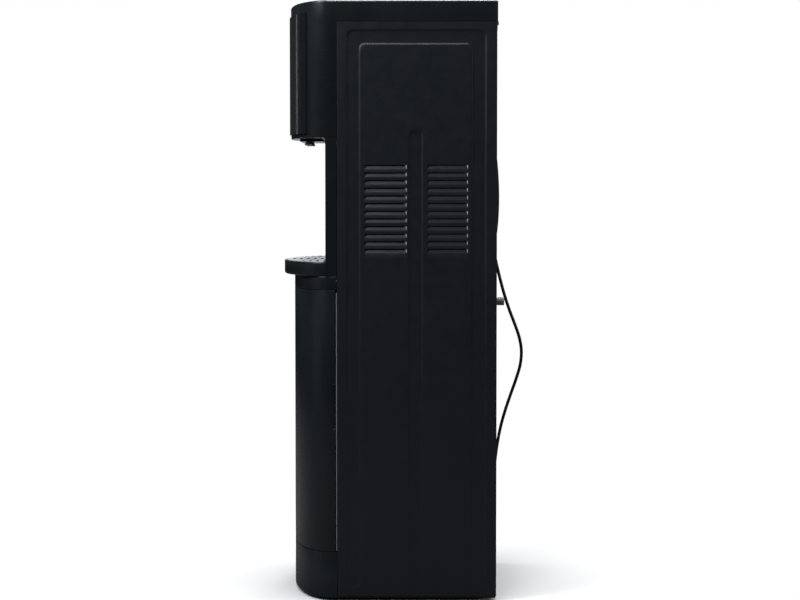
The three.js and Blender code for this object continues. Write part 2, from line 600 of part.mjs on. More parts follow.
// ---- Assembly -------------------------------------------------------------------------------
add('base_frame', baseFrame(), MATERIALS.plasticBlack);
feet();
add('bay_floor', bayFloor(), MATERIALS.galvanised);
add('side_panel_right', sidePanel(), MATERIALS.steelBlack);
add('side_panel_left', mirrored(sidePanel()), MATERIALS.steelBlack);
add('rear_panel', rearPanel(), MATERIALS.steelBlack);
add('head_cover', headCover(), MATERIALS.plasticBlack);
add('control_fascia', fascia(), MATERIALS.glossBlack);
keys();
nozzles();
add('front_column', frontColumn(), MATERIALS.plasticBlack);
add('tray_housing', trayHousing(), MATERIALS.plasticBlack);
add('drip_tray', dripTray(), MATERIALS.plasticBlack);
add('drip_grate', dripGrate(), MATERIALS.stainless);
add('door', door(), MATERIALS.plasticBlack);
add('door_liner', box(-148.6, 148.6, -106, -103.6, 90, 536.5), MATERIALS.plasticBlack);
add('hinge_upper', hingeLeaf(544, 546, 531), MATERIALS.galvanised);
add('hinge_lower', hingeLeaf(78, 80.8, 95), MATERIALS.galvanised);
add('catch_plate', box(117, 139, -103.2, -102, 516, 532), MATERIALS.galvanised);
add('catch_magnet', box(116, 140, -101.2, -88, 514, 544.6), MATERIALS.plasticBlack);
add('front_rail', frontRail(), MATERIALS.galvanised);
add('compressor_deck', box(-151.5, 151.5, -97, 149, DECK - 2, DECK), MATERIALS.galvanised);
tanks();
refrigeration();
waterPath();
electrics();
drain();
[['left', -132], ['right', 132]].forEach(([name, x]) => {
  const screw = [[0, 170], [1.8, 170], [1.8, 178.5], [4, 178.5], [4, 180], [3, 180.9], [0, 180.9]];
  add(`cover_screw_${name}`, turnedAlongY(screw, x, 1002.6, 14), MATERIALS.galvanised);
});
add('cord_gland', cordGland(), MATERIALS.rubber);
add('cord_clip', cordClip(), MATERIALS.rubber);
add('cord_run', smoothTube(CORD_ROUTE, CORD_RADIUS, 78), MATERIALS.rubber);
add('cord_coil', cordCoil(), MATERIALS.rubber);
add('cord_tail', smoothTube(CORD_TAIL, CORD_RADIUS, 4), MATERIALS.rubber);
add('cord_plug', plug(), MATERIALS.rubber);

export default dispenser;
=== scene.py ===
"""The looks of a floor-standing water dispenser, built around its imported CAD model.

Sizes here are millimetres in the CAD frame: +Z up, the front towards -Y.
They become metres when a mesh is made.
"""
import json
import math
from collections import namedtuple

import bmesh
import bpy
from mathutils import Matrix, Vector


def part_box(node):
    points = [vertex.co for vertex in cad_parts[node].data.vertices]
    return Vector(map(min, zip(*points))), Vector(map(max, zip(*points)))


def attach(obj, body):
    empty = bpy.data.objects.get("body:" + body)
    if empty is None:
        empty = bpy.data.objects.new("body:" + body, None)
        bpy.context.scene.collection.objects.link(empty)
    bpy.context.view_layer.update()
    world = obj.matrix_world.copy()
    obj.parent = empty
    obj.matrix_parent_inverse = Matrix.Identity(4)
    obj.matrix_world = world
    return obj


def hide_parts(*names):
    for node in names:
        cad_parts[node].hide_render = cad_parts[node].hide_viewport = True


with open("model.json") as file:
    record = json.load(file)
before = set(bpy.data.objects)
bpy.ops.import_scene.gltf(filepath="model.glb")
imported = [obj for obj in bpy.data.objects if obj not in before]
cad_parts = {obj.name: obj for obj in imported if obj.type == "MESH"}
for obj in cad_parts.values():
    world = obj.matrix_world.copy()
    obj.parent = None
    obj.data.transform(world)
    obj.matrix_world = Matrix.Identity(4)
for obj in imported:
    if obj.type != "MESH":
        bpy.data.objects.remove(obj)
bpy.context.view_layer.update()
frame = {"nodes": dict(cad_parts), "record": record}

MM = 0.001
scene = bpy.context.scene

# ---- Sizes: the frame's own boxes, and the curves that the CAD is drawn with
Box = namedtuple("Box", "x0 x1 y0 y1 z0 z1")


def node_box(name):
    low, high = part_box(name)
    (x0, y0, z0), (x1, y1, z1) = low / MM, high / MM
    return Box(x0, x1, y0, y1, z0, z1)


def middle_of(name):
    """The x and y of a node's middle."""
    b = node_box(name)
    return (b.x0 + b.x1) / 2, (b.y0 + b.y1) / 2


SIDE, HEAD, FASCIA, DOOR, LINER, HOUSING, TRAY, GRATE, COLUMN, BASE, BLOCK, REAR = map(node_box, (
    "side_panel_right", "head_cover", "control_fascia", "door", "door_liner", "tray_housing",
    "drip_tray", "drip_grate", "front_column", "base_frame", "nozzle_block", "rear_panel"))
HALF = SIDE.x1
BOW = -108.4  # the front mouldings are half ellipses about this line
MOULD_REAR = -99.8  # the flat backs of the front mouldings
HOLLOW_REAR = -90  # where the hollows of those mouldings end, past their backs
WALL = 3  # how thick the mouldings are
HINGE_X, HINGE_Y, PIN_RADIUS = -146.5, -121.2, 2.7


# ---- Camera
CAMERA_AT, CAMERA_TILT = (3.076, 0.00969, 0.70945), 2.406  # metres, and degrees down from level
CAMERA_LENS, CAMERA_SHIFT = 76.23, -0.045


def new_object(name, data):
    made = bpy.data.objects.new(name, data)
    scene.collection.objects.link(made)
    return made


def aimed(made, place_at, ahead):
    """Puts a camera or a light at a place, looking along a direction."""
    made.location = place_at
    made.rotation_mode = "QUATERNION"
    made.rotation_quaternion = ahead.to_track_quat("-Z", "Y")


def add_camera():
    data = bpy.data.cameras.new("camera")
    data.lens, data.sensor_width, data.shift_y = CAMERA_LENS, 36, CAMERA_SHIFT
    data.clip_end = 60
    tilt = math.radians(CAMERA_TILT)
    scene.camera = new_object("camera", data)
    aimed(scene.camera, CAMERA_AT, Vector((-math.cos(tilt), 0, -math.sin(tilt))))


# ---- Materials
def node_of(tree, kind, **settings):
    node = tree.nodes.new("ShaderNode" + kind)
    for key, value in settings.items():
        if hasattr(node, key):
            setattr(node, key, value)
        else:
            node.inputs[key.replace("_", " ")].default_value = value
    return node


def noise(tree, scale, detail, stretch=(1, 1, 1)):
    """Noise in the object's own metres, stretched along an axis by a smaller number."""
    where = node_of(tree, "TexCoord")
    mapped = node_of(tree, "Mapping", Scale=stretch)
    tree.links.new(where.outputs["Object"], mapped.inputs["Vector"])
    made = node_of(tree, "TexNoise", Scale=scale, Detail=detail, Roughness=0.5)
    tree.links.new(mapped.outputs["Vector"], made.inputs["Vector"])
    return made.outputs["Fac"]


def cells(tree, scale, feature="F1"):
    where = node_of(tree, "TexCoord")
    made = node_of(tree, "TexVoronoi", feature=feature, Scale=scale)
    tree.links.new(where.outputs["Object"], made.inputs["Vector"])
    return made.outputs["Distance"]


def ramp(tree, value, low, high, from_low=0.3, from_high=0.7):
    made = node_of(tree, "MapRange", From_Min=from_low, From_Max=from_high, To_Min=low, To_Max=high)
    tree.links.new(value, made.inputs["Value"])
    return made.outputs["Result"]


def spread(tree, scale, detail, low, high, *span):
    """Noise turned into values between low and high."""
    return ramp(tree, noise(tree, scale, detail), low, high, *span)


def blended(tree, share, first, second):
    made = node_of(tree, "Mix", data_type="RGBA")
    color_a, color_b, mixed = made.inputs[6], made.inputs[7], made.outputs[2]
    color_a.default_value, color_b.default_value = (*first, 1), (*second, 1)
    tree.links.new(share, made.inputs[0])
    return mixed


def bump(tree, height, distance, strength, under=None):
    made = node_of(tree, "Bump", Distance=distance, Strength=strength)
    tree.links.new(height, made.inputs["Height"])
    if under:
        tree.links.new(under, made.inputs["Normal"])
    return made.outputs["Normal"]


def grained(tree, scale, detail, distance, strength, under=None):
    return bump(tree, noise(tree, scale, detail), distance, strength, under)


def new_material(name, **shader):
    material = bpy.data.materials.new(name)
    material.use_nodes = True
    inputs = material.node_tree.nodes["Principled BSDF"].inputs
    for key, value in shader.items():
        inputs[key.replace("_", " ")].default_value = value
    return material, material.node_tree


def finished(material, color, roughness, normal):
    """Links a material's color, roughness and normal to its shader."""
    tree = material.node_tree
    inputs = tree.nodes["Principled BSDF"].inputs
    for made, name in ((color, "Base Color"), (roughness, "Roughness"), (normal, "Normal")):
        tree.links.new(made, inputs[name])
    return material


def moulded(name, dark, light, roughness, grain=2600, **shader):
    """Moulded plastic: a fine etched grain, and slow patches where handling has polished it."""
    material, tree = new_material(name, **shader)
    patches = noise(tree, 7, 4)
    fine = grained(tree, grain, 2, 0.00005, 0.6)
    return finished(material, blended(tree, ramp(tree, patches, 0, 1), dark, light),
                    spread(tree, 22, 5, *roughness), bump(tree, patches, 0.0006, 0.25, fine))


def brushed(name, dark, light, roughness, metallic=1.0):
    """Brushed metal, its lines running along X."""
    material, tree = new_material(name, Metallic=metallic)
    lines = noise(tree, 900, 3, (0.02, 1, 1))
    return finished(material, blended(tree, ramp(tree, lines, 0, 1), dark, light),
                    ramp(tree, lines, *roughness), bump(tree, lines, 0.00004, 0.5))


def zinc_coated():
    material, tree = new_material("zinc_coated_steel", Metallic=0.9)
    spangle = ramp(tree, cells(tree, 90), 0, 1, 0.05, 0.75)
    return finished(material, blended(tree, spangle, (0.3, 0.31, 0.32), (0.46, 0.47, 0.48)),
                    spread(tree, 130, 3, 0.34, 0.56), grained(tree, 420, 3, 0.00005, 0.4))


def bare_copper():
    material, tree = new_material("bare_copper", Metallic=1.0)
    tarnish = spread(tree, 45, 6, 0, 1)
    return finished(material, blended(tree, tarnish, (0.52, 0.21, 0.1), (0.3, 0.11, 0.06)),
                    ramp(tree, tarnish, 0.24, 0.48, 0, 1), grained(tree, 300, 3, 0.00005, 0.3))


def mottled(name, cloud, dark, light, dull, grain, waves=None, **shader):
    """A noise each for color, roughness, grain and waves: its scale and detail, then its use."""
    material, tree = new_material(name, **shader)
    normal = grained(tree, *grain)
    if waves:
        normal = grained(tree, *waves, normal)
    return finished(material, blended(tree, spread(tree, *cloud), dark, light), spread(tree, *dull), normal)


def cloudy(name, dark, light, roughness, see):
    """Natural plastic or silicone: light goes some way in."""
    return mottled(name, (40, 4, 0, 1), dark, light, (180, 3, *roughness), (700, 2, 0.00005, 0.4),
                   Subsurface_Weight=see, Subsurface_Scale=0.006, IOR=1.42)


def insulating_foam():
    material, tree = new_material("insulating_foam")
    pores = cells(tree, 420)
    color = blended(tree, ramp(tree, pores, 0, 1, 0.1, 0.8), (0.6, 0.55, 0.4), (0.82, 0.78, 0.64))
    return finished(material, color, spread(tree, 90, 3, 0.8, 0.95), bump(tree, pores, 0.0007, 0.8))


def circuit_board():
    material, tree = new_material("circuit_board", Coat_Weight=0.4, Coat_Roughness=0.25)
    tracks = ramp(tree, cells(tree, 160, "DISTANCE_TO_EDGE"), 0, 1, 0.02, 0.06)
    return finished(material, blended(tree, tracks, (0.05, 0.2, 0.08), (0.01, 0.07, 0.03)),
                    spread(tree, 300, 2, 0.3, 0.45), bump(tree, tracks, 0.0001, 0.5))


MATERIALS = {
    "steel_black": mottled("black_powder_coat", (5, 5, 0, 1), (0.011, 0.0145, 0.019),
                           (0.0135, 0.017, 0.0215), (60, 4, 0.38, 0.46), (620, 2, 0.00009, 0.45),
                           (3, 1, 0.0012, 0.12)),  # orange peel on faint rolling waves
    "plastic_black": moulded("satin_black_moulding", (0.0095, 0.0135, 0.017), (0.013, 0.018, 0.022),
                             (0.22, 0.29)),
    "gloss_black": mottled("polished_black", (900, 2, 0, 1, 0.62, 0.8), (0.008, 0.011, 0.014),
                           (0.02, 0.023, 0.026), (35, 4, 0.14, 0.24), (14, 1, 0.0008, 0.08),
                           Coat_Weight=0.6, Coat_Roughness=0.06),  # with specks of dust
    "stainless": brushed("brushed_stainless", (0.5, 0.51, 0.52), (0.68, 0.69, 0.7), (0.2, 0.36)),
    # painted reflection: a near-white, barely metallic steel that stands in for the white surroundings the
    # grate reflects
    "grate_painted_reflection": brushed("stainless_painted_reflection", (0.84, 0.85, 0.86), (0.92, 0.93, 0.94), (0.3, 0.4), 0.3),
    "galvanised": zinc_coated(),
    "copper": bare_copper(),
    "rubber_black": mottled("black_rubber", (70, 5, 0, 1), (0.012, 0.012, 0.013), (0.024, 0.024, 0.025),
                            (240, 3, 0.52, 0.72), (1500, 2, 0.00006, 0.6)),
    "plastic_white": cloudy("natural_nylon", (0.6, 0.61, 0.58), (0.72, 0.73, 0.7), (0.4, 0.55), 0.15),
    "plastic_grey": cloudy("translucent_grey", (0.34, 0.375, 0.37), (0.42, 0.455, 0.45), (0.28, 0.42), 0.35),
    "foam": insulating_foam(),
    "silicone": cloudy("milky_silicone", (0.5, 0.55, 0.57), (0.62, 0.67, 0.69), (0.3, 0.42), 0.4),
    "board_green": circuit_board(),
    # painted highlight: a light grey that stands in for the lit front edge of the side sheet
    "seal_painted_highlight": moulded("painted_highlight_seal", (0.31, 0.33, 0.36), (0.36, 0.38, 0.41), (0.6, 0.75)),
    # grey spouts, made light to paint in the light that the head's shade keeps off them
    "spout_painted_light": moulded("grey_spout_painted_light", (0.52, 0.53, 0.54), (0.6, 0.61, 0.62), (0.25, 0.4)),
    # painted highlight: a light grey that stands in for the glint on each louvre's rear cheek
    "glint_painted_end": moulded("painted_glint_steel", (0.3, 0.31, 0.33), (0.55, 0.56, 0.58), (0.35, 0.5), 900),
    # painted highlight: light grey bars that stand in for the lit top and bottom edges of the finger pull
    "lip_painted_highlight": moulded("painted_highlight_pull_lip", (0.045, 0.05, 0.055), (0.06, 0.066, 0.072), (0.4, 0.5)),
    "key_red": moulded("red_moulding", (0.3, 0.01, 0.009), (0.38, 0.014, 0.012), (0.18, 0.3),
                       Coat_Weight=0.6),
}


# ---- Mesh making
def mesh_object(name, points, faces):
    mesh = bpy.data.meshes.new(name)
    mesh.from_pydata([[c * MM for c in p] for p in points], [], faces)
    mesh.validate()
    return new_object(name, mesh)


def outward(shape):
    """Turns a closed mesh's faces to point out."""
    work = bmesh.new()
    work.from_mesh(shape.data)
    bmesh.ops.remove_doubles(work, verts=work.verts, dist=1e-7)
    bmesh.ops.recalc_face_normals(work, faces=work.faces)
    work.to_mesh(shape.data)
    work.free()
    return shape


def loft(rings, closed=False):
    """A solid through rings of equal counts of points. Its ends are faces, or it closes on itself."""
    count = len(rings[0])
    points = [p for ring in rings for p in ring]
    faces = []
    last = len(rings) if closed else len(rings) - 1
    for i in range(last):
        a, b = i * count, (i + 1) % len(rings) * count
        faces += [(a + j, a + (j + 1) % count, b + (j + 1) % count, b + j) for j in range(count)]
    if not closed:
        faces += [tuple(range(count))[::-1], tuple(range((len(rings) - 1) * count, len(points)))]
    return outward(mesh_object("shape", points, faces))


def prism(outline, low, high, axis="Z"):
    """An outline of (x, y) along Z, of (x, z) along Y, or of (y, z) along X."""
    at = "XYZ".index(axis)
    return loft([[(*point[:at], level, *point[at:]) for point in outline] for level in (low, high)])


def block(x0, x1, y0, y1, z0, z1):
    return prism([(x0, y0), (x1, y0), (x1, y1), (x0, y1)], z0, z1)


def arc(cx, cy, radius, start, end, steps):
    angles = [math.radians(start + (end - start) * i / steps) for i in range(steps + 1)]
    return [(cx + radius * math.cos(a), cy + radius * math.sin(a)) for a in angles]


def rounded(a0, a1, b0, b1, radius, steps=6):
    """A rectangle with rounded corners."""
    r = min(radius, (a1 - a0) / 2 - 0.01, (b1 - b0) / 2 - 0.01)
    return (arc(a1 - r, b1 - r, r, 0, 90, steps) + arc(a0 + r, b1 - r, r, 90, 180, steps)
            + arc(a0 + r, b0 + r, r, 180, 270, steps) + arc(a1 - r, b0 + r, r, 270, 360, steps))


def circle(count, radius=1.0):
    angles = [2 * math.pi * k / count for k in range(count)]
    return [(radius * math.cos(a), radius * math.sin(a)) for a in angles]


def lathe(profile, x, y, segments=40, axis="Z", closed=False):
    """A profile of (radius, height) turned about a line along Z through x, y, or along Y through x, z."""
    rings = []
    for radius, height in profile:
        around = [(x + u, y + v) for u, v in circle(segments, radius)]
        rings.append([(u, v, height) if axis == "Z" else (u, height, v) for u, v in around])
    return loft(rings, closed)


def evaluated(shape):
    """Gives a shape the mesh that its modifiers make of it."""
    graph = bpy.context.evaluated_depsgraph_get()
    graph.update()
    made = bpy.data.meshes.new_from_object(shape.evaluated_get(graph), preserve_all_data_layers=True,
                                           depsgraph=graph)
    shape.modifiers.clear()
    shape.data = made
    return shape


def combined(shape, others, operation):
    """Joins or cuts a shape with others, which are used up."""
    for other in others:
        step = shape.modifiers.new("combine", "BOOLEAN")
        step.operation, step.solver, step.object = operation, "EXACT", other
    evaluated(shape)
    for other in others:
        bpy.data.objects.remove(other)
    return shape


def cut(shape, *tools):
    return combined(shape, tools, "DIFFERENCE")


def joined(shape, *others):
    return combined(shape, others, "UNION")


def merged(*shapes):
    """Several closed shapes as one mesh, without joining their surfaces."""
    work = bmesh.new()
    for shape in shapes:
        work.from_mesh(shape.data)
    work.to_mesh(shapes[0].data)
    work.free()
    for other in shapes[1:]:
        bpy.data.objects.remove(other)
    return shapes[0]


def smooth(shape, angle=35):
    for polygon in shape.data.polygons:
        polygon.use_smooth = True
    shape.data.set_sharp_from_angle(angle=math.radians(angle))
    return shape


def softened(shape, width, segments=2):
    """Rounds a shape's hard edges by a width."""
    angle = 32
    step = smooth(shape, angle).modifiers.new("round", "BEVEL")
    step.width, step.segments, step.limit_method = width * MM, segments, "ANGLE"
    step.angle_limit, step.harden_normals, step.use_clamp_overlap = math.radians(angle), True, True
    step.miter_outer = "MITER_ARC"
    return evaluated(shape)


HARD_EDGE = 0.5  # radians between an edge's two faces


def edges_rounded(shape, chosen, width, segments):
    """Rounds only the hard edges that chosen says, given an edge's middle in mm and its direction."""
    work = bmesh.new()
    work.from_mesh(shape.data)
    picked = []
    for edge in work.edges:
        a, b = edge.verts[0].co / MM, edge.verts[1].co / MM
        if edge.calc_face_angle(0) > HARD_EDGE and chosen((a + b) / 2, (b - a).normalized()):
            picked.append(edge)
    bmesh.ops.bevel(work, geom=picked, offset=width * MM, segments=segments, profile=0.5, affect="EDGES")
    work.to_mesh(shape.data)
    work.free()
    return shape


def level_at(z, middle, along):
    """Whether an edge lies level at a height, given its middle and direction."""
    return abs(middle.z - z) < 0.4 and abs(along.z) < 0.1


def place(shape, name, replaces=(), body="cabinet", slot="plastic_black", look=None):
    """Names a finished piece, gives it its slot's material or another look, and rides it on its body."""
    shape.name = shape.data.name = name
    shape.data.materials.clear()
    shape.data.materials.append(MATERIALS[look or slot])
    if replaces:
        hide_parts(*replaces)
    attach(shape, body)
    return shape


# ---- Front outlines
def bow_curve(front, inset=0.0, side=math.pi / 2, steps=72):
    """The ellipse of a front moulding seen from above, from the left side to the right."""
    a, b = HALF - inset, BOW - front - inset
    angles = [-side + 2 * side * i / steps for i in range(steps + 1)]
    return [(a * math.sin(t), BOW - b * math.cos(t)) for t in angles]


def bowed(front, rear, inset=0.0):
    """The bow with straight sides back to a flat rear."""
    return [*bow_curve(front, inset), (HALF - inset, rear), (inset - HALF, rear)]


def front_block(box, z0, z1):
    return prism(bowed(box.y0, MOULD_REAR), z0, z1)


def front_hollow(box, z0, z1):
    return prism(bowed(box.y0, HOLLOW_REAR, WALL), z0, z1)


# ---- Power cord
CORD_ROUTE = [
    (-124, 176.5, 868), (-124, 181.5, 835), (-124, 186, 805), (-124, 189.8, 775),
    (-124, 192.8, 740), (-124, 194, 695), (-124, 192, 650), (-124, 188, 618),
    (-124, 186.5, 601), (-124, 191, 580), (-124, 198.2, 550), (-124, 206.3, 520),
    (-124, 216, 490), (-124, 227.4, 460), (-125.5, 235.6, 436), (-130, 240, 411),
    (-135.5, 238.5, 384), (-139.5, 231, 356), (-142, 221.5, 328), (-143.2, 211.5, 298),
    (-143.8, 202.5, 266), (-144, 195.5, 230), (-144, 190.5, 190), (-144, 187.6, 145),
    (-144, 186.4, 100), (-144, 186, 66), (-144, 186, 39.3), (-146.7, 186, 25.5),
    (-154.5, 186, 13.8), (-166.2, 186, 6), (-180, 186, 3.3), (-193, 186, 3.3),
    (-206, 186, 3.3), (-220.6, 183.4, 3.3), (-230.5, 178.3, 3.3),
]
CORD_RADIUS = 3
COIL_X, COIL_Y = -206, 143
COIL_ENTRY, COIL_EXIT = 125, 1620  # degrees round the coil, anticlockwise from +X
COIL_TURNS = [(36.2, 3.3), (29.8, 3.3), (29.8, 9.5), (36.2, 9.5)]  # radius and height of each turn
ENTRY_RADIUS = 43
TURN_EASE = 0.18  # the part of a turn that eases into the next
CORD_END_Y = (121.4, 112, 101.4, 94)  # the way into the plug


def eased(share):
    """A share held within 0 and 1, with soft ends."""
    share = min(1.0, max(0.0, share))
    return share * share * (3 - 2 * share)


def through(points, per):
    """A centripetal Catmull-Rom curve through points."""
    p = [Vector(q) for q in points]
    p = [2 * p[0] - p[1], *p, 2 * p[-1] - p[-2]]
    line = []
    for p0, p1, p2, p3 in zip(p, p[1:], p[2:], p[3:]):
        d0, d1, d2 = (math.sqrt((b - a).length) for a, b in ((p0, p1), (p1, p2), (p2, p3)))
        m1 = ((p1 - p0) / d0 - (p2 - p0) / (d0 + d1) + (p2 - p1) / d1) * d1
        m2 = ((p2 - p1) / d1 - (p3 - p1) / (d1 + d2) + (p3 - p2) / d2) * d1
        for i in range(per):
            t = i / per
            line.append(p1 + m1 * t + (3 * (p2 - p1) - 2 * m1 - m2) * t**2
                        + (2 * (p1 - p2) + m1 + m2) * t**3)
    return [*line, p[-2]]


def coil_points():
    """Four turns in two layers, each easing into the next over its last part, after a way in."""
    points = []
    for angle in range(COIL_ENTRY + 5, COIL_EXIT + 1, 5):
        past = (angle - 180) / 360
        if past <= 0:
            share = eased((angle - COIL_ENTRY) / (180 - COIL_ENTRY))
            first, height = COIL_TURNS[0]
            radius = ENTRY_RADIUS + (first - ENTRY_RADIUS) * share
        else:
            turn = min(int(past), len(COIL_TURNS) - 1)
            this, after = COIL_TURNS[turn], COIL_TURNS[min(turn + 1, len(COIL_TURNS) - 1)]
            share = eased((past - turn - 1 + TURN_EASE) / TURN_EASE)
            radius, height = (a + (b - a) * share for a, b in zip(this, after))
        a = math.radians(angle)
        points.append((COIL_X + radius * math.cos(a), COIL_Y + radius * math.sin(a), height))
    return points


def add_cord():
    x, z = middle_of("cord_plug")[0], COIL_TURNS[-1][1]
    line = through([*CORD_ROUTE, *coil_points()[::2], *[(x, y, z) for y in CORD_END_Y]], 5)
    curve = bpy.data.curves.new("mains_cord", "CURVE")
    curve.dimensions, curve.bevel_depth, curve.bevel_resolution = "3D", CORD_RADIUS * MM, 4
    curve.use_fill_caps = True
    spline = curve.splines.new("POLY")
    spline.points.add(len(line) - 1)
    for point, where in zip(spline.points, line):
        point.co = (*(where * MM), 1)
    spline.use_smooth = True
    return place(new_object("mains_cord", curve), "mains_cord", ("cord_run", "cord_coil", "cord_tail"),
                 slot="rubber_black")


def cord_tie():
    """A rubber strap round the coil's bundle."""
    centre = COIL_X + (COIL_TURNS[0][0] + COIL_TURNS[1][0]) / 2
    path = rounded(centre - 7.6, centre + 7.6, -0.2, 13.6, 4.5, 5)
    inner = rounded(centre - 6.6, centre + 6.6, 0.2, 12.6, 3.8, 5)
    y0, y1 = COIL_Y - 4, COIL_Y + 4
    faces = ((path, y0, 0.1), (path, y1, 0.1), (inner, y1, 0.3), (inner, y0, 0.3))
    strap = loft([[(x, y, max(z, low)) for x, z in outline] for outline, y, low in faces], closed=True)
    return place(softened(strap, 0.3), "coil_tie", slot="rubber_black")


# ---- Side sheets
GROOVE_DEPTH, GROOVE_WALL, GROOVE_CORNER, ARCH_CORNER = 1.7, 1.9, 9.0, 12
GROOVE_FADE, FADE_TOP, FADE_FOOT = 0.7, 680, 300  # this share of the depth is lost between these heights
ARCH_Z = 600  # above here the two upright channels and the top one are drawn as one arch
GROOVES = [  # y0, y1, z0, z1
    (-81.8, -60, 25, 988.6), (134.3, 157.5, 25, 988.6), (-81.8, 157.5, 965.2, 988.6), (25.4, 47.9, 25, 817),
]
VENT_COLUMNS = [(-52.4, 21.3), (56.5, 126.7)]
VENT_ROWS, VENT_FIRST, VENT_PITCH = 12, 608.8, 13.18
VENT_OPEN, VENT_LEAN, VENT_ENDS = 7.8, 3.2, (0.6, 0.75)  # the ends' slopes, front and rear
REAR_LEAN = 0.7  # the rear column's vanes lean in by this much of the front column's
SHEET, BEND = 0.9, 1.6
GRID_REACH, GRID_FINE = 2.4, 0.6
CHEEK_GRID = (0, 0.6, 1.2, 1.8, 2.4, 3, 3.6, 4.27, 4.8, 5.34, 8)
CORNER_GRID = (4, 5.5, 7.5)
CHEEK_TURN = 0.4  # a face that is turned this far along Y is a louvre's cheek


def lines_between(low, high, edges, coarse):
    """Grid lines from low to high, fine about each edge and coarse elsewhere."""
    found = {low, high}
    for edge in edges:
        steps = round(GRID_REACH / GRID_FINE)
        found |= {round(edge + i * GRID_FINE, 4) for i in range(-steps, steps + 1)}
    found = sorted(v for v in found if low <= v <= high)
    filled = []
    for a, b in zip(found, found[1:]):
        count = max(1, math.ceil((b - a) / coarse))
        filled += [a + (b - a) * i / count for i in range(count)]
    return [*filled, found[-1]]


def outside_of(y, z, y0, y1, z0, z1, corner):
    """How far a point lies outside a rounded rectangle, negative within it."""
    dy = abs(y - (y0 + y1) / 2) - (y1 - y0) / 2 + corner
    dz = abs(z - (z0 + z1) / 2) - (z1 - z0) / 2 + corner
    return math.hypot(max(dy, 0), max(dz, 0)) + min(max(dy, dz), 0) - corner


def groove_depth(y, z):
    """How far the sheet is pressed in: an arch of one channel round three sides, and one up the middle."""
    front, rear, top, middle = GROOVES
    if z > ARCH_Z:
        arch = max(outside_of(y, z, front[0], rear[1], 0, front[3], ARCH_CORNER),
                   -outside_of(y, z, front[1], rear[0], -900, top[2], GROOVE_CORNER))
    else:
        arch = min(outside_of(y, z, *front, GROOVE_CORNER), outside_of(y, z, *rear, GROOVE_CORNER))
    nearest = min(arch, outside_of(y, z, *middle, GROOVE_CORNER))
    kept = 1 - GROOVE_FADE * eased((FADE_TOP - z) / (FADE_TOP - FADE_FOOT))
    return GROOVE_DEPTH * kept * eased((GROOVE_WALL - nearest) / (2 * GROOVE_WALL))


def vane_depth(y, z, y0, y1, z0):
    """How far a louvre's flat vane leans in, between two flat cheeks that slope back out to the sheet."""
    lean = VENT_LEAN if y0 < 0 else REAR_LEAN * VENT_LEAN
    return min(lean * (z - z0) / VENT_OPEN, VENT_ENDS[0] * (y - y0), VENT_ENDS[1] * (y1 - y))


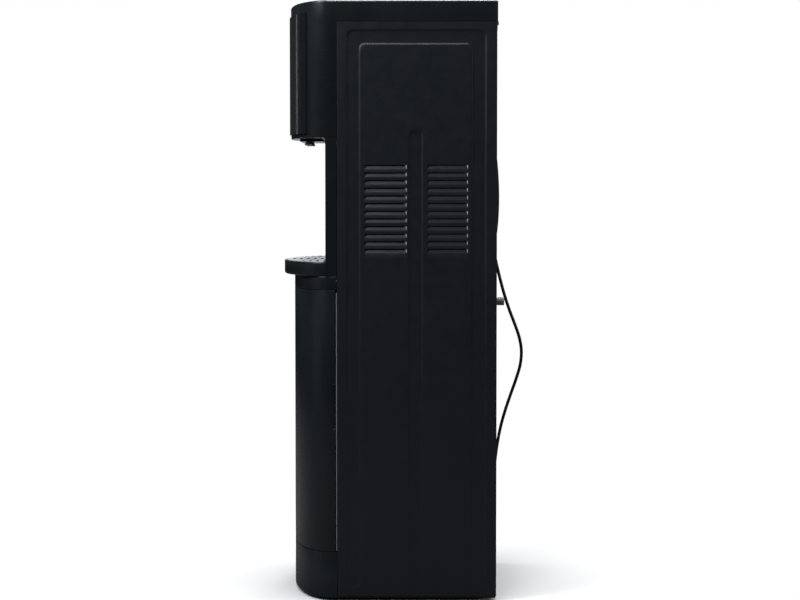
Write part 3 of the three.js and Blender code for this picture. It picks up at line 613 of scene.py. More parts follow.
def side_sheet(side):
    """A pressed sheet with folded edges. Each louvre is slit along its top."""
    angles = [math.radians(15 * i) for i in range(6)]
    fold = [(BEND * (1 - math.cos(a)), BEND * (math.sin(a) - 1)) for a in angles]
    upright = [y for y0, y1, _, _ in GROOVES[:2] + GROOVES[3:] for y in (y0, y1)]
    flat = lines_between(SIDE.y0 + BEND, SIDE.y1 - BEND, upright, 7)
    for y0, y1 in VENT_COLUMNS:
        flat += [y for d in CHEEK_GRID for y in (y0 + d, y1 - d)]
    for y0, y1, _, _ in GROOVES[:2]:
        flat += [y for d in CORNER_GRID for y in (y0 + d, y1 - d)]
    columns = [(SIDE.y0 + SHEET / 2, -6.5), (SIDE.y0 + SHEET / 2, -4)]
    columns += [(SIDE.y0 + back, dx) for back, dx in fold]
    columns += [(y, 0.0) for y in sorted({round(y, 3) for y in flat})]
    columns += [(SIDE.y1 - back, dx) for back, dx in fold[::-1]]
    columns += [(SIDE.y1 - 0.02, -14)]
    slits = [VENT_FIRST + i * VENT_PITCH + VENT_OPEN / 2 for i in range(VENT_ROWS)]
    foot, head, inner, middle = GROOVES[0][2], GROOVES[0][3], GROOVES[2][2], GROOVES[3][3]
    rows = lines_between(SIDE.z0, SIDE.z1, [foot, middle, inner, head], 16)
    rows += [z - VENT_OPEN * (1 - s) for z in slits for s in (0, 0.15, 0.3, 0.5, 0.7, 0.85, 1)]
    corners = ((foot, (4, 6, 9)), (middle, (-4, -6, -9)), (head, (-4, -6, -9)), (inner, (-4, -7)))
    rows += [z + d for z, steps in corners for d in steps]
    rows = sorted({round(z, 3) for z in rows})

    def vent_at(y, z):
        """The louvre, if any, that holds the middle of a cell."""
        for y0, y1 in VENT_COLUMNS:
            for top in slits:
                if y0 < y < y1 and top - VENT_OPEN < z < top:
                    return y0, y1, top
        return None

    points, found, faces = [], {}, []

    def vertex(i, j, vent):
        (y, dx), z = columns[i], rows[j]
        inside = vent and vent[0] + 1e-6 < y < vent[1] - 1e-6 and z > vent[2] - VENT_OPEN + 1e-6
        key = (i, j, bool(inside))
        if key not in found:
            depth = vane_depth(y, z, *vent[:2], vent[2] - VENT_OPEN) if inside else 0.0
            found[key] = len(points)
            points.append((side * (HALF + dx - depth - (groove_depth(y, z) if dx == 0 else 0)), y, z))
        return found[key]

    for i in range(len(columns) - 1):
        for j in range(len(rows) - 1):
            vent = vent_at((columns[i][0] + columns[i + 1][0]) / 2, (rows[j] + rows[j + 1]) / 2)
            face = [vertex(*at, vent) for at in ((i, j), (i + 1, j), (i + 1, j + 1), (i, j + 1))]
            faces.append(face if side > 0 else face[::-1])
    sheet = mesh_object("sheet", points, faces)
    step = sheet.modifiers.new("thick", "SOLIDIFY")
    step.thickness, step.offset = SHEET * MM, -1
    evaluated(sheet)
    name = "right" if side > 0 else "left"
    place(smooth(sheet, 26), f"side_sheet_{name}", (f"side_panel_{name}",), slot="steel_black")
    # A second material paints a highlight onto the louvres' rear cheeks.
    sheet.data.materials.append(MATERIALS["glint_painted_end"])
    for face in sheet.data.polygons:
        y, z = face.center.y / MM, face.center.z / MM
        vent = vent_at(y, z)
        if vent and abs(face.normal.y) > CHEEK_TURN:
            vane = VENT_LEAN * (z - vent[2] + VENT_OPEN) / VENT_OPEN
            if VENT_ENDS[1] * (vent[1] - y) < vane:  # the rear cheeks get a light grey: a painted highlight for a glint
                face.material_index = 1


# ---- Head
TOP_Z = SIDE.z1 + 0.4
LOCK_Z, KEY_Z, KEY_PITCH = 1006, 985, 42
KEYS = ((-1, "cold"), (0, "room"), (1, "hot"))
KEY_HALF_WIDTH, KEY_HALF_HEIGHT, LOCK_HALF = 16, 7, 5.5  # the holes in the fascia
FASCIA_PROUD = 2.5
CAVITY_Z = 1002  # the foot of the hollow in the head's top


def fascia_place(x, z, depth=0.0):
    """A point on the fascia's curve, depth behind its surface, and its outward direction there."""
    a, b = HALF + FASCIA_PROUD, BOW - HEAD.y0 + FASCIA_PROUD
    y = BOW - b * math.sqrt(1 - (x / a) ** 2)
    out = Vector((x / a**2, (y - BOW) / b**2, 0)).normalized()
    return Vector((x, y, z)) - out * depth, out


def on_fascia(outline, x, z, depths):
    """Rings of an outline of (across, up) set square to the fascia at x, z, at each depth and scale."""
    rings = []
    for depth, scale in depths:
        middle, out = fascia_place(x, z, depth)
        across = Vector((0, 0, 1)).cross(out)
        rings.append([middle + across * (u * scale) + Vector((0, 0, v * scale)) for u, v in outline])
    return rings


def key_outline(half_width, half_height):
    return rounded(-half_width, half_width, -half_height, half_height, half_height, 8)


def key_holes(grow, depth):
    """Cutters for the holes of the three keys and the lock key, down to a depth behind the fascia."""
    reach = [(-4, 1), (depth, 1)]
    outline, lock = key_outline(KEY_HALF_WIDTH + grow, KEY_HALF_HEIGHT + grow), LOCK_HALF + grow
    holes = [loft(on_fascia(outline, i * KEY_PITCH, KEY_Z, reach)) for i, _ in KEYS]
    return [*holes, loft(on_fascia(key_outline(lock, lock), KEY_PITCH, LOCK_Z, reach))]


def head_shell():
    cap = prism(bowed(HEAD.y0, HEAD.y1), TOP_Z, HEAD.z1)
    shell = joined(cap, front_block(HEAD, HEAD.z0, TOP_Z + WALL))
    skirt = block(-139, 139, HEAD.y1 - WALL, HEAD.y1, 990, TOP_Z + WALL)
    cavity = prism(bowed(HEAD.y0, HEAD.y1 - WALL, WALL), CAVITY_Z, HEAD.z1 - WALL)
    hollow = front_hollow(HEAD, HEAD.z0 + WALL, CAVITY_Z + 8)
    shell = joined(cut(shell, cavity, hollow), skirt)
    nozzle_hole = block(-60, 60, -168.6, -128, HEAD.z0 - 1, HEAD.z0 + 4)
    shell = cut(shell, nozzle_hole, *key_holes(0.5, 16))
    a, b = HALF - 2, BOW - HEAD.y0 - 2

    def low_rim(p, d):
        outer = (p.x / a) ** 2 + ((p.y - BOW) / b) ** 2 > 0.97
        return level_at(HEAD.z0, p, d) and p.y < MOULD_REAR - 1 and outer

    edges_rounded(shell, lambda p, d: level_at(HEAD.z1, p, d), 3.2, 5)
    edges_rounded(shell, low_rim, 1.6, 3)
    place(softened(shell, 0.5), "head_shell", ("head_cover",))


def fascia_panel():
    curves = [bow_curve(HEAD.y0, -proud, math.asin(FASCIA.x1 / (HALF + proud)), 60)
              for proud in (FASCIA_PROUD, 0.3)]
    plate = cut(prism([*curves[0], *curves[1][::-1]], FASCIA.z0, FASCIA.z1), *key_holes(0, 6))
    place(softened(plate, 0.45, 3), "fascia_panel", ("control_fascia",), slot="gloss_black")


def keys():
    """Crowned push keys without legends, and the child lock's small red one."""
    crown = [(10, 0.98), (1.6, 0.98), (1.0, 0.97), (0.6, 0.93), (0.35, 0.84), (0.22, 0.6), (0.2, 0.3)]
    for i, name in KEYS:
        key = loft(on_fascia(key_outline(15.6, 6.6), i * KEY_PITCH, KEY_Z, crown))
        place(smooth(key, 50), f"key_{name}", (f"button_{name}",), f"button_{name}", "gloss_black")
    lock = loft(on_fascia(key_outline(5.1, 5.1), KEY_PITCH, LOCK_Z, crown))
    place(smooth(lock, 50), "key_child_lock", ("button_child_lock",), "button_child_lock", "key_red")


LENS_COLORS = {"cold": (0.02, 0.12, 0.5), "room": (0.02, 0.35, 0.08), "hot": (0.5, 0.02, 0.01)}
LENS_RISE = {"cold": 12.5, "room": 12.5, "hot": -12.5}


def key_marks():
    """A small unlit lens by each key, blue, green and red: the hot key's is below it."""
    for i, name in KEYS:
        lens = loft(on_fascia(key_outline(1.7, 1.7), i * KEY_PITCH, KEY_Z + LENS_RISE[name],
                              [(1, 1), (-0.05, 1), (-0.22, 0.85), (-0.3, 0.4)]))
        look, color = f"lens_{name}", LENS_COLORS[name]
        MATERIALS[look] = cloudy(look, color, [c * 1.4 + 0.01 for c in color], (0.12, 0.2), 0.1)
        place(smooth(lens, 60), f"indicator_{name}", slot="gloss_black", look=look)


# ---- Dispensing recess
NOZZLE_Y, NOZZLE_PITCH, NOZZLE_TIP = -153.2, 36, 794.8


def nozzle_parts():
    bores = [lathe([(5, BLOCK.z0 - 2), (5, BLOCK.z1 + 2)], i * NOZZLE_PITCH, NOZZLE_Y) for i, _ in KEYS]
    carrier = prism(rounded(BLOCK.x0, BLOCK.x1, BLOCK.y0, BLOCK.y1, 5), BLOCK.z0, BLOCK.z1)
    place(softened(cut(carrier, *bores), 0.8, 3), "nozzle_carrier", ("nozzle_block",))
    spout = [(3.2, 0.5), (3.7, 0), (7.2, 0), (7.8, 0.6), (7.8, 1.8), (7.2, 2.8), (6.5, 3.5), (6.3, 5.2),
             (4.6, 5.4), (4.6, 31), (3.2, 31)]
    # The spouts' light grey is partly painted light, standing in for light that the head shades off.
    for i, name in KEYS:
        shape = lathe([(r, NOZZLE_TIP + z) for r, z in spout], i * NOZZLE_PITCH, NOZZLE_Y, closed=True)
        place(smooth(shape, 50), f"spout_{name}", (f"nozzle_{name}",), look="spout_painted_light")


def recess_wall():
    """The recess's back wall with its side strips, and a coved moulding under the head."""
    front = COLUMN.y0
    z0, z1 = COLUMN.z0 - 0.3, COLUMN.z1 + 0.3
    sides = [block(x, x + WALL, front + 0.5, COLUMN.y1, z0, z1) for x in (-HALF, HALF - WALL)]
    wall = joined(block(COLUMN.x0, COLUMN.x1, front, front + WALL, z0, z1), *sides)
    edges_rounded(wall, lambda p, d: abs(d.z) > 0.9 and p.y < front + 0.3, 2.2, 4)
    place(smooth(wall, 30), "recess_wall", ("front_column",))
    radius = 6
    curve = [(front - radius + radius * math.sin(a), z1 - radius + radius * math.cos(a))
             for a in (math.radians(10 * k) for k in range(10))]
    cove = prism([(front + 0.2, z1), *curve, (front + 0.2, z1 - radius)], WALL - HALF, HALF - WALL, "X")
    place(smooth(cove, 40), "recess_cove")


def tray_outline(inset, rear):
    """The tray's outline from above, stopping at the recess wall."""
    return bow_curve(TRAY.y0, inset, math.acos((BOW - rear) / (BOW - TRAY.y0 - inset)), 120)


def tray():
    """A shallow basin: a rounded rim, a step that the grate sits in, and a sloping floor."""
    z0, z1 = TRAY.z0, TRAY.z1
    levels = [(2.8, z0), (2.2, z0 + 0.1), (0.1, z0 + 2.2), (0, z0 + 2.8), (0, z1 - 1.8), (0.3, z1 - 0.7),
              (1.1, z1), (3.2, z1), (3.7, z1 - 0.3), (3.9, z1 - 0.9), (4.0, GRATE.z0 - 0.4),
              (7.6, GRATE.z0 - 0.5), (8, GRATE.z0 - 1), (8, z0 + 5.5), (9.5, z0 + 3.4), (12, z0 + 2.6)]
    rings = []
    for inset, z in levels:
        rear = TRAY.y1 - (0.0 if inset < 2.5 else inset)
        rings.append([(x, y, z) for x, y in tray_outline(inset, rear)])
    place(smooth(loft(rings), 45), "tray_basin", ("drip_tray",), "drip_tray")


GRATE_INSET, GRATE_SHEET = 4.4, 0.5
SLOT_ROWS, SLOT_FIRST, SLOT_PITCH, SLOT_SHIFT = 5, -131.5, 12.6, 3.2  # along Y
SLOT_STEP, SLOT_HALF, SLOT_RADIUS, SLOT_MARGIN, SLOT_SHORTEST = 108, 19, 2.3, 7, 8
SLOT_FIELD = 2.2  # the slots' walls lie at least this far within the grate's edge


def grate():
    """A pressed stainless grate: three columns of slots with round ends, and a rim turned down."""
    plate = prism(tray_outline(GRATE_INSET, GRATE.y1), GRATE.z1 - GRATE_SHEET, GRATE.z1)
    a, b = HALF - GRATE_INSET, BOW - TRAY.y0 - GRATE_INSET
    slots = []
    for column in (-1, 0, 1):
        for row in range(SLOT_ROWS):
            x, y = column * SLOT_STEP, SLOT_FIRST - column * SLOT_SHIFT - row * SLOT_PITCH
            reach = a * math.sqrt(1 - ((BOW - y + SLOT_RADIUS) / b) ** 2) - SLOT_MARGIN
            x0, x1 = max(x - SLOT_HALF, -reach), min(x + SLOT_HALF, reach)
            if x1 - x0 > SLOT_SHORTEST:
                outline = rounded(x0, x1, y - SLOT_RADIUS, y + SLOT_RADIUS, 2.2, 5)
                slots.append(prism(outline, GRATE.z0 - 3, GRATE.z1 + 3))
    plate = cut(plate, merged(*slots))
    lip = cut(prism(tray_outline(GRATE_INSET + 0.2, GRATE.y1 - 0.2), GRATE.z0, GRATE.z1 - 0.3),
              prism(tray_outline(GRATE_INSET + 1.8, GRATE.y1 - 1.8), GRATE.z0 - 1, GRATE.z0 + 3))
    plate = softened(joined(plate, lip), 0.12)
    # The grate's near-white colour is a painted reflection of white surroundings.
    place(plate, "slotted_grate", ("drip_grate",), "drip_grate", "stainless", "grate_painted_reflection")
    # The second material, black, paints shade onto the slots' walls.
    plate.data.materials.append(MATERIALS["plastic_black"])
    for face in plate.data.polygons:
        x, y, z = face.center / MM
        inside = (x / (a - SLOT_FIELD)) ** 2 + ((BOW - y) / (b - SLOT_FIELD)) ** 2 < 1 and y < GRATE.y1 - 2
        if inside and abs(face.normal.z) < 0.9 and z > GRATE.z1 - GRATE_SHEET - 0.1:
            face.material_index = 1  # painted shade: the slots' walls are made black, as the holes look dark


def tray_support():
    shape = cut(front_block(HOUSING, HOUSING.z0, HOUSING.z1),
                front_hollow(HOUSING, HOUSING.z0 - 1, HOUSING.z1 - WALL))
    edges_rounded(shape, lambda p, d: level_at(HOUSING.z1, p, d) and p.y < MOULD_REAR - 1, 1.2, 3)
    place(softened(shape, 0.5), "tray_support", ("tray_housing",))
    gasket = block(-80, 80, -99.75, -99.45, HOUSING.z0 + 1.5, HOUSING.z1 - 1)
    place(gasket, "housing_gasket", slot="rubber_black")


# ---- Door
PULL_Z0, PULL_Z1, PULL_FRONT, PULL_DEEP = 298.5, 379, -108, 9
SKIN = 2.6


def pin_hole(z):
    return lathe([(PIN_RADIUS, z - 5), (PIN_RADIUS, z + 5)], HINGE_X, HINGE_Y, 20)


def door_parts():
    rear = DOOR.y1
    outline = [*bow_curve(DOOR.y0), (HALF, rear - 2), (HALF - 2, rear), (2 - HALF, rear), (-HALF, rear - 2)]
    hollow = prism(bowed(DOOR.y0, rear + 9, SKIN), DOOR.z0 + WALL, DOOR.z1 - WALL)
    levels = ((PULL_Z0 - 1, 0.1), (PULL_Z0 + 1.8, PULL_DEEP), (PULL_Z1 - 1.8, PULL_DEEP), (PULL_Z1 + 1, 0.1))
    scoop = loft([[(HALF + 1, PULL_FRONT - 2, z), (HALF + 1, rear + 8, z), (HALF + 1 - deep, rear + 8, z)]
                  for z, deep in levels])
    shape = cut(prism(outline, DOOR.z0, DOOR.z1), hollow, scoop, pin_hole(DOOR.z0), pin_hole(DOOR.z1))

    def end_rim(p, d):
        level = level_at(DOOR.z0, p, d) or level_at(DOOR.z1, p, d)
        return level and p.y < rear - 1 and math.hypot(p.x, p.y - BOW) > 60

    edges_rounded(shape, end_rim, 0.3, 2)
    place(softened(shape, 0.4), "door_skin", ("door",), "door")
    backing = [(HALF - 5, PULL_FRONT - 4), (HALF - 1.6, PULL_FRONT - 2.4), (HALF - 3.4, rear),
               (HALF - 8, rear)]
    cup = prism(backing, PULL_Z0 - 1.5, PULL_Z1 + 1.5)
    place(softened(cup, 0.2), "finger_cup", body="door")
    # Painted highlight: two light grey bars stand in for the light caught by the pull's top and bottom
    # edges.
    for name, z in (("upper", PULL_Z1 - 1.9), ("lower", PULL_Z0 + 0.7)):
        lip = prism([(151, -107.2), (154.6, -107.2), (154.4, -101.8), (151, -101.8)], z, z + 1.2)
        place(softened(lip, 0.2), f"pull_lip_{name}", body="door", look="lip_painted_highlight")
    # Painted highlight: a light grey strip in the gap behind the door stands in for the side sheet's lit
    # front edge.
    seal = prism(rounded(148.9, 154.5, -100.9, -99.45, 0.6), DOOR.z0 + 1.8, DOOR.z1 - 4.6)
    place(softened(seal, 0.2), "door_seal", slot="rubber_black", look="seal_painted_highlight")
    liner()


def liner():
    """The door's inner sheet, with sunk fields that stiffen it."""
    sheet = prism(rounded(LINER.x0, LINER.x1, LINER.z0, LINER.z1, 3), LINER.y0, LINER.y1, "Y")
    fields = []
    for k, x1 in enumerate((128, 128, 108)):
        z0 = LINER.z0 + 22 + k * 140
        fields.append(prism(rounded(-128, x1, z0, z0 + 118, 12), LINER.y1 - 1.3, LINER.y1 + 2, "Y"))
    sheet = cut(sheet, *fields)
    place(softened(sheet, 0.9, 3), "door_inner_sheet", ("door_liner",), "door")


# ---- Base and feet
PAN = 2.7  # the base pan's thickness


def base():
    kick = cut(front_block(BASE, BASE.z0, BASE.z1), front_hollow(BASE, BASE.z0 + PAN, BASE.z1 - WALL),
               pin_hole(BASE.z1))
    kick = joined(kick, block(BASE.x0 + 1.8, BASE.x1 - 1.8, MOULD_REAR - 1, BASE.y1, BASE.z0, BASE.z0 + PAN))
    for z, width, segments in ((BASE.z1, 0.4, 2), (BASE.z0, 1.5, 4)):
        edges_rounded(kick, lambda p, d: level_at(z, p, d) and p.y < MOULD_REAR - 1, width, segments)
    place(softened(kick, 0.5), "kick_and_pan", ("base_frame",))
    for end in ("front", "rear"):
        for side in ("left", "right"):
            name = f"foot_{end}_{side}"
            top = node_box(name).z1
            profile = [(0.01, 0), (13.6, 0), (14.6, 0.3), (15.6, 1.2), (17, 2), (17, 3.4), (15.4, 4.2),
                       (14, top), (0.01, top)]
            foot = lathe(profile, *middle_of(name))
            place(smooth(foot, 50), f"{name}_pad", (name,), slot="rubber_black")


# ---- Rear
BAY = (-98, 98, 612, 962, 152, 12)  # x0, x1, z0, z1, the y of its floor, its corners
WELL = (-139, -109, 842, 906, 150, 6)
TUB_SHEET, TUB_SLOPE = 1.2, 3
DRAIN_Z = 512.4
SWITCH_X, SWITCH_Z = 121, 890


def tub(x0, x1, z0, z1, floor, radius):
    """A pressed tub with sloping walls, as the solid around it and the hollow in it."""
    def lofted(grow, corner, levels):
        rings = []
        for y, s in levels:
            outline = rounded(x0 + s - grow, x1 - s + grow, z0 + s - grow, z1 - s + grow, corner)
            rings.append([(x, y, z) for x, z in outline])
        return loft(rings)

    face = REAR.y1
    return (lofted(TUB_SHEET, radius + 1, ((face - 0.8, 0), (floor - TUB_SHEET, TUB_SLOPE))),
            lofted(0, radius, ((face + 2, 0), (face, 0), (floor, TUB_SLOPE))))


def rear_sheet():
    bay_out, bay_in = tub(*BAY)
    well_out, well_in = tub(*WELL)
    sheet = joined(block(REAR.x0, REAR.x1, 174.5, REAR.y1, REAR.z0, REAR.z1), bay_out, well_out)
    slots = [prism(rounded(x - 26, x + 26, z - 2, z + 2, 2), 165, 185, "Y")
             for x in (-70, 0, 70) for z in range(70, 300, 14)]
    slots += [prism(rounded(x - 24, x + 24, z - 1.8, z + 1.8, 1.8), 145, 160, "Y")
              for x in (-54, 0, 54) for z in range(640, 940, 26)]
    sheet = cut(sheet, bay_in, well_in, lathe([(7, 168), (7, 182)], 0, DRAIN_Z, axis="Y"),
                block(SWITCH_X - 11, SWITCH_X + 11, 168, 182, SWITCH_Z - 20, SWITCH_Z + 20), merged(*slots))
    place(softened(sheet, 0.5), "rear_sheet", ("rear_panel",), slot="steel_black")


def screw_head(name, x, z, face, replaces=()):
    """A pan head with a cross recess."""
    rise = [(0.01, -6), (1.8, -6), (1.8, 0), (3.9, 0), (4, 0.5), (3.7, 1.4), (2.6, 2.1), (0.01, 2.4)]
    head = lathe([(radius, face + y) for radius, y in rise], x, z, 28, axis="Y")
    cross = [block(x - w, x + w, face + 0.9, face + 4, z - h, z + h) for w, h in ((2.1, 0.45), (0.45, 2.1))]
    place(smooth(cut(head, *cross), 35), name, replaces, slot="galvanised")


def screws():
    for side, x in (("left", -132), ("right", 132)):
        screw_head(f"head_screw_{side}", x, 1002.6, 178.5, (f"cover_screw_{side}",))
        for k, z in enumerate((40, 360, 600, 975)):
            screw_head(f"rear_screw_{side}_{k}", x * 1.03, z, REAR.y1 - 0.2)


def condenser():
    """The serpentine tube with its fine wires, front and back."""
    y, radius, passes = middle_of("condenser")[1], 2.4, 12
    points = []
    for i in range(passes):
        side, z = (1 if i % 2 else -1), 640 + i * 26
        points += [(-72 * side, y, z), (0, y, z), (72 * side, y, z)]
        if i < passes - 1:
            points += [(81 * side, y, z + 4), (85 * side, y, z + 13), (81 * side, y, z + 22)]
    tube = tube_mesh(through(points, 4), radius, 12)
    place(smooth(tube, 60), "condenser_tube", ("condenser",), slot="steel_black")
    away = radius + 0.7
    wires = [tube_mesh([(-73.5 + k * 7, side, z) for z in (634, 780, 932)], 0.75, 6)
             for k in range(22) for side in (y - away, y + away)]
    place(smooth(merged(*wires), 60), "condenser_wires", slot="steel_black")


def tube_mesh(line, radius, sides):
    """A capped tube along points, its section carried along without twisting."""
    rings = []
    line = [Vector(p) for p in line]
    ahead = (line[1] - line[0]).normalized()
    across = ahead.orthogonal().normalized()
    for i, point in enumerate(line):
        new = (line[min(i + 1, len(line) - 1)] - line[max(i - 1, 0)]).normalized()
        across = (ahead.rotation_difference(new) @ across).normalized()
        ahead = new
        up = ahead.cross(across)
        rings.append([point + across * u + up * v for u, v in circle(sides, radius)])
    return loft(rings)


def drain_parts():
    """The outlet, and its plug with a ridged grip."""
    outlet = [(3.9, 165), (6, 164), (6, 176), (9, 176.2), (9.3, 176.8), (9.3, 180.6), (8.8, 181.4),
              (7.4, 183.2), (7.2, 184), (7.2, 186.6), (6.9, 187), (3.9, 187)]
    spigot = lathe(outlet, 0, DRAIN_Z, axis="Y", closed=True)
    place(smooth(spigot, 40), "drain_spigot", ("drain_outlet",), slot="plastic_grey")
    body = [(0.02, 172), (3.4, 172), (3.4, 187.3), (7, 187.4), (7.4, 187.8), (7.4, 197.6), (6.9, 198.6),
            (6, 199), (0.02, 199)]
    rings = []
    for radius, y in body:
        ring = []
        for k, (u, v) in enumerate(circle(96)):
            ridge = 0.35 * (0.5 + 0.5 * math.cos(k * 2 * math.pi / 6)) if 187.5 < y < 198 else 0
            ring.append(((radius - ridge) * u, y, DRAIN_Z + (radius - ridge) * v))
        rings.append(ring)
    place(smooth(loft(rings), 40), "drain_cap", ("drain_plug",), "drain_plug", "plastic_grey")


def switch_parts():
    x, z = SWITCH_X, SWITCH_Z
    bezel = joined(prism(rounded(x - 14, x + 14, z - 24, z + 24, 3), 175.9, 178, "Y"),
                   block(x - 10.6, x + 10.6, 160, 177, z - 19.6, z + 19.6))
    bezel = cut(bezel, *[prism(rounded(x - 8, x + 8, z + low, z + high, 1), 166, 182, "Y")
                         for low, high in ((1, 17), (-17, -1))])
    place(softened(bezel, 0.5, 3), "switch_frame", ("switch_bezel",))


def gland_and_clip():
    """The cord's strain relief, tapered and slit across, and the clip that holds the cord lower down."""
    x = CORD_ROUTE[0][0]
    top, end = Vector((x, 171.1, 904.4)), Vector((x, 176.45, 868.4))
    along = (end - top).normalized()
    across = Vector((1, 0, 0))
    up = along.cross(across)
    length = (end - top).length
    profile = [(0.02, 0), (8, 0), (8, 7.2), (7.4, 8), (5.9, 9), (5.6, 12)]
    for k in range(5):
        at = 14 + k * 4
        wide = 5.5 - (at - 12) * 0.055
        profile += [(wide, at), (wide - 1, at + 0.3), (wide - 1.05, at + 1.5), (wide - 0.1, at + 1.8)]
    profile += [(4.3, length - 0.8), (3.9, length), (0.02, length)]
    rings = [[top + along * h + across * u + up * v for u, v in circle(28, r)] for r, h in profile]
    place(smooth(loft(rings), 35), "strain_relief", ("cord_gland",), slot="rubber_black")
    clip, y = node_box("cord_clip"), 186.6
    shape = joined(lathe([(4.7, clip.z0), (4.7, clip.z1)], x, y),
                   block(x - 3, x + 3, clip.y0, y, clip.z0, clip.z1))
    shape = cut(shape, lathe([(3.4, clip.z0 - 2), (3.4, clip.z1 + 2)], x, 186.9))
    place(softened(shape, 0.6, 3), "cord_saddle", ("cord_clip",), slot="rubber_black")


def plug():
    """The plug's body with its ridged strain relief, and its two blades and round pin."""
    x, z = middle_of("cord_plug")[0], COIL_TURNS[-1][1]
    sections = [(40, 12.2, 8.2, 3), (40.6, 12.8, 8.8, 3.6), (42, 13, 9.2, 4), (60, 13, 9.2, 4),
                (66, 12, 9, 5.5), (71, 9.6, 8.6, 7), (75, 7.6, 7.4, 7), (79, 6.6, 6.6, 6.4)]
    rings = [[(x + u, y, z + v) for u, v in rounded(-w, w, -h, h, r)] for y, w, h, r in sections]
    neck = [(80.5 + k * 3.2 + dy, 6.3 - k * 0.32 + dr)
            for k in range(6) for dy, dr in ((0, 0), (0.3, -0.8), (1.4, -0.85), (1.7, -0.1))]
    count = len(rings[0])
    rings += [[(x + u, y, z + v) for u, v in circle(count, radius)] for y, radius in [*neck, (101, 4)]]
    body = place(smooth(loft(rings), 38), "plug_body", ("cord_plug",), slot="rubber_black")
    blades = []
    for cx in (x - 6.35, x + 6.35):
        blade = prism(rounded(cx - 0.75, cx + 0.75, z - 6.2, z + 0.1, 0.3, 2), 24, 41, "Y")
        hole = prism([(28.5 + u, z - 3 + v) for u, v in circle(24, 1.6)], cx - 3, cx + 3, "X")
        blades.append(cut(blade, hole))
    profile = [(0.02, 21), (1.5, 21), (2.2, 21.9), (2.4, 23), (2.4, 41), (0.02, 41)]
    pin = lathe(profile, x, z + 5.2, 20, axis="Y")
    return [body, place(softened(merged(*blades, pin), 0.2), "plug_pins", slot="stainless")]


# ---- Inner pieces that a door, a slot or a louvre lets one see
def bottle_probe():
    """The suction probe, with a ribbed foot and a round collar that closes the bottle's neck."""
    b = node_box("bottle_probe")
    profile = [(0.02, b.z0), (4.6, b.z0), (5.6, b.z0 + 1), (6, b.z0 + 3)]
    for k in range(6):
        z = b.z0 + 8 + 4 * k
        profile += [(6, z), (5.2, z + 0.4), (5.2, z + 2), (6, z + 2.4)]
    profile += [(6, 528), (12, 529.6), (13, 530), (16.4, 533), (17, 535), (17, 555), (16, 557.4),
                (12, 560), (6, 560.8), (5, 562), (5, b.z1), (0.02, b.z1)]
    probe = lathe(profile, *middle_of("bottle_probe"))
    place(smooth(probe, 40), "suction_probe", ("bottle_probe",), slot="silicone")


CAD_SLOTS = {s["node"]: s["material_slot"] for s in frame["record"]["subparts"]}


def finish_cad_nodes():
    """Every CAD node that still shows gets its material, soft edges and smooth shading."""
    for name, shape in frame["nodes"].items():
        shape.data.materials.clear()
        shape.data.materials.append(MATERIALS[CAD_SLOTS[name]])
        if shape.hide_render:
            continue
        smooth(shape, 30)
        step = shape.modifiers.new("round", "BEVEL")
        step.width, step.segments, step.limit_method = 0.4 * MM, 2, "ANGLE"
        step.angle_limit = math.radians(38)


# ---- Floor and lights
FLOOR = 60000  # half the floor's width
FLOOR_FADE = (0.2, 0.75)  # metres from the middle, from the floor's own color to white
COOL = (0.93, 0.97, 1.0)


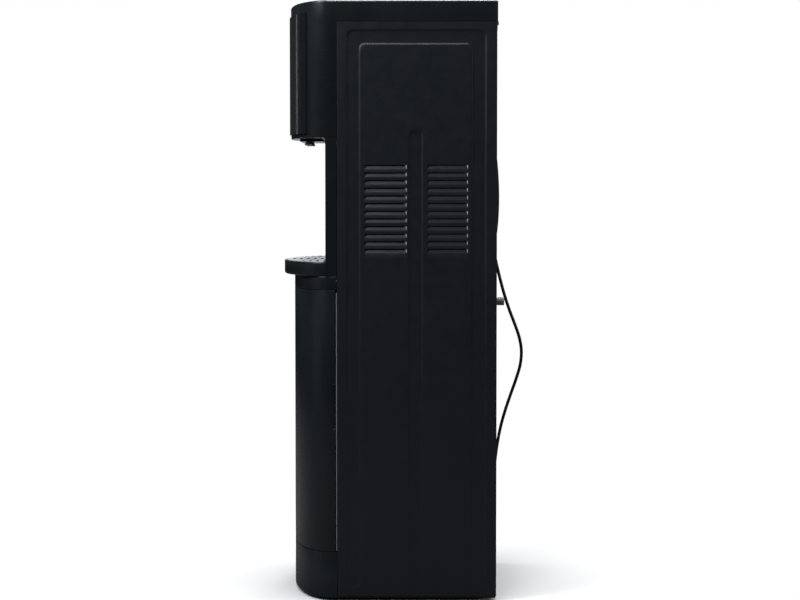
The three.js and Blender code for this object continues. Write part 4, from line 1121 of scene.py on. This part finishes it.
def add_floor():
    """A pale floor that fades to the white of the background away from the object."""
    corners = [(x * FLOOR, y * FLOOR, 0) for x, y in ((-1, -1), (1, -1), (1, 1), (-1, 1))]
    floor = mesh_object("floor", corners, [(0, 1, 2, 3)])
    material, tree = new_material("pale_floor", Roughness=0.8, Specular_IOR_Level=0.2)
    out, link = tree.nodes["Principled BSDF"], tree.links.new
    seen = node_of(tree, "LightPath")
    color = blended(tree, seen.outputs["Is Camera Ray"], (0.1, 0.1, 0.1), (0.95, 0.95, 0.95))
    link(color, out.inputs["Base Color"])
    where = node_of(tree, "TexCoord")
    away = node_of(tree, "VectorMath", operation="LENGTH")
    link(where.outputs["Object"], away.inputs[0])
    far = ramp(tree, away.outputs["Value"], 0, 1, *FLOOR_FADE)
    share = node_of(tree, "Math", operation="MULTIPLY")
    link(far, share.inputs[0])
    link(seen.outputs["Is Camera Ray"], share.inputs[1])
    white, mix = node_of(tree, "Emission", Strength=1.0), node_of(tree, "MixShader")
    for k, made in enumerate((share, out, white)):
        link(made.outputs[0], mix.inputs[k])
    link(mix.outputs[0], tree.nodes["Material Output"].inputs["Surface"])
    floor.data.materials.append(material)


def area_light(name, place_at, aim, size, power, color=COOL):
    data = bpy.data.lights.new(name, "AREA")
    data.shape, data.energy, data.color = "RECTANGLE", power, color
    data.size, data.size_y = size
    light = new_object(name, data)
    light.visible_camera = False
    aimed(light, place_at, Vector(aim) - Vector(place_at))


def add_lights():
    world = bpy.data.worlds.new("studio")
    world.use_nodes = True
    tree = world.node_tree
    background = tree.nodes["Background"]
    background.inputs["Color"].default_value = (1, 1, 1, 1)
    seen = node_of(tree, "LightPath")
    tree.links.new(ramp(tree, seen.outputs["Is Camera Ray"], 0.03, 1, 0, 1), background.inputs["Strength"])
    scene.world = world
    area_light("key", (0.95, -1.75, 2.25), (0, 0, 0.85), (1.2, 1.2), 37)
    area_light("vanes", (1.9, -0.6, 2.6), (0, 0, 0.8), (0.9, 0.9), 14)
    area_light("front", (0.5, -2.8, 1.0), (0, 0, 0.7), (1.8, 1.8), 1.0)
    area_light("top", (0.0, 0.0, 3.2), (0, 0, 0.4), (1.0, 1.0), 90, (1, 1, 1))
    area_light("streak", (-2.14, -2.16, 1.15), (0, -0.1, 0.95), (0.12, 0.5), 0.13)
    area_light("sheen", (-2.4, -0.16, 0.72), (0, -0.16, 0.6), (0.5, 0.5), 0.9)
    area_light("rear", (0.2, 2.6, 1.9), (0, 0, 0.6), (1.0, 1.0), 26)
    area_light("left", (-2.6, 0.9, 2.0), (0, 0, 0.6), (1.0, 1.0), 22)
    scene.view_settings.view_transform = "Standard"


# ---- Making
add_camera()
cord = add_cord()
cord_ends = plug()
tie = cord_tie()

for side in (-1, 1):
    side_sheet(side)
head_shell()
fascia_panel()
keys()
key_marks()
nozzle_parts()
recess_wall()
tray()
grate()
tray_support()
door_parts()
base()
rear_sheet()
screws()
condenser()
drain_parts()
switch_parts()
gland_and_clip()
bottle_probe()
finish_cad_nodes()
add_floor()
add_lights()
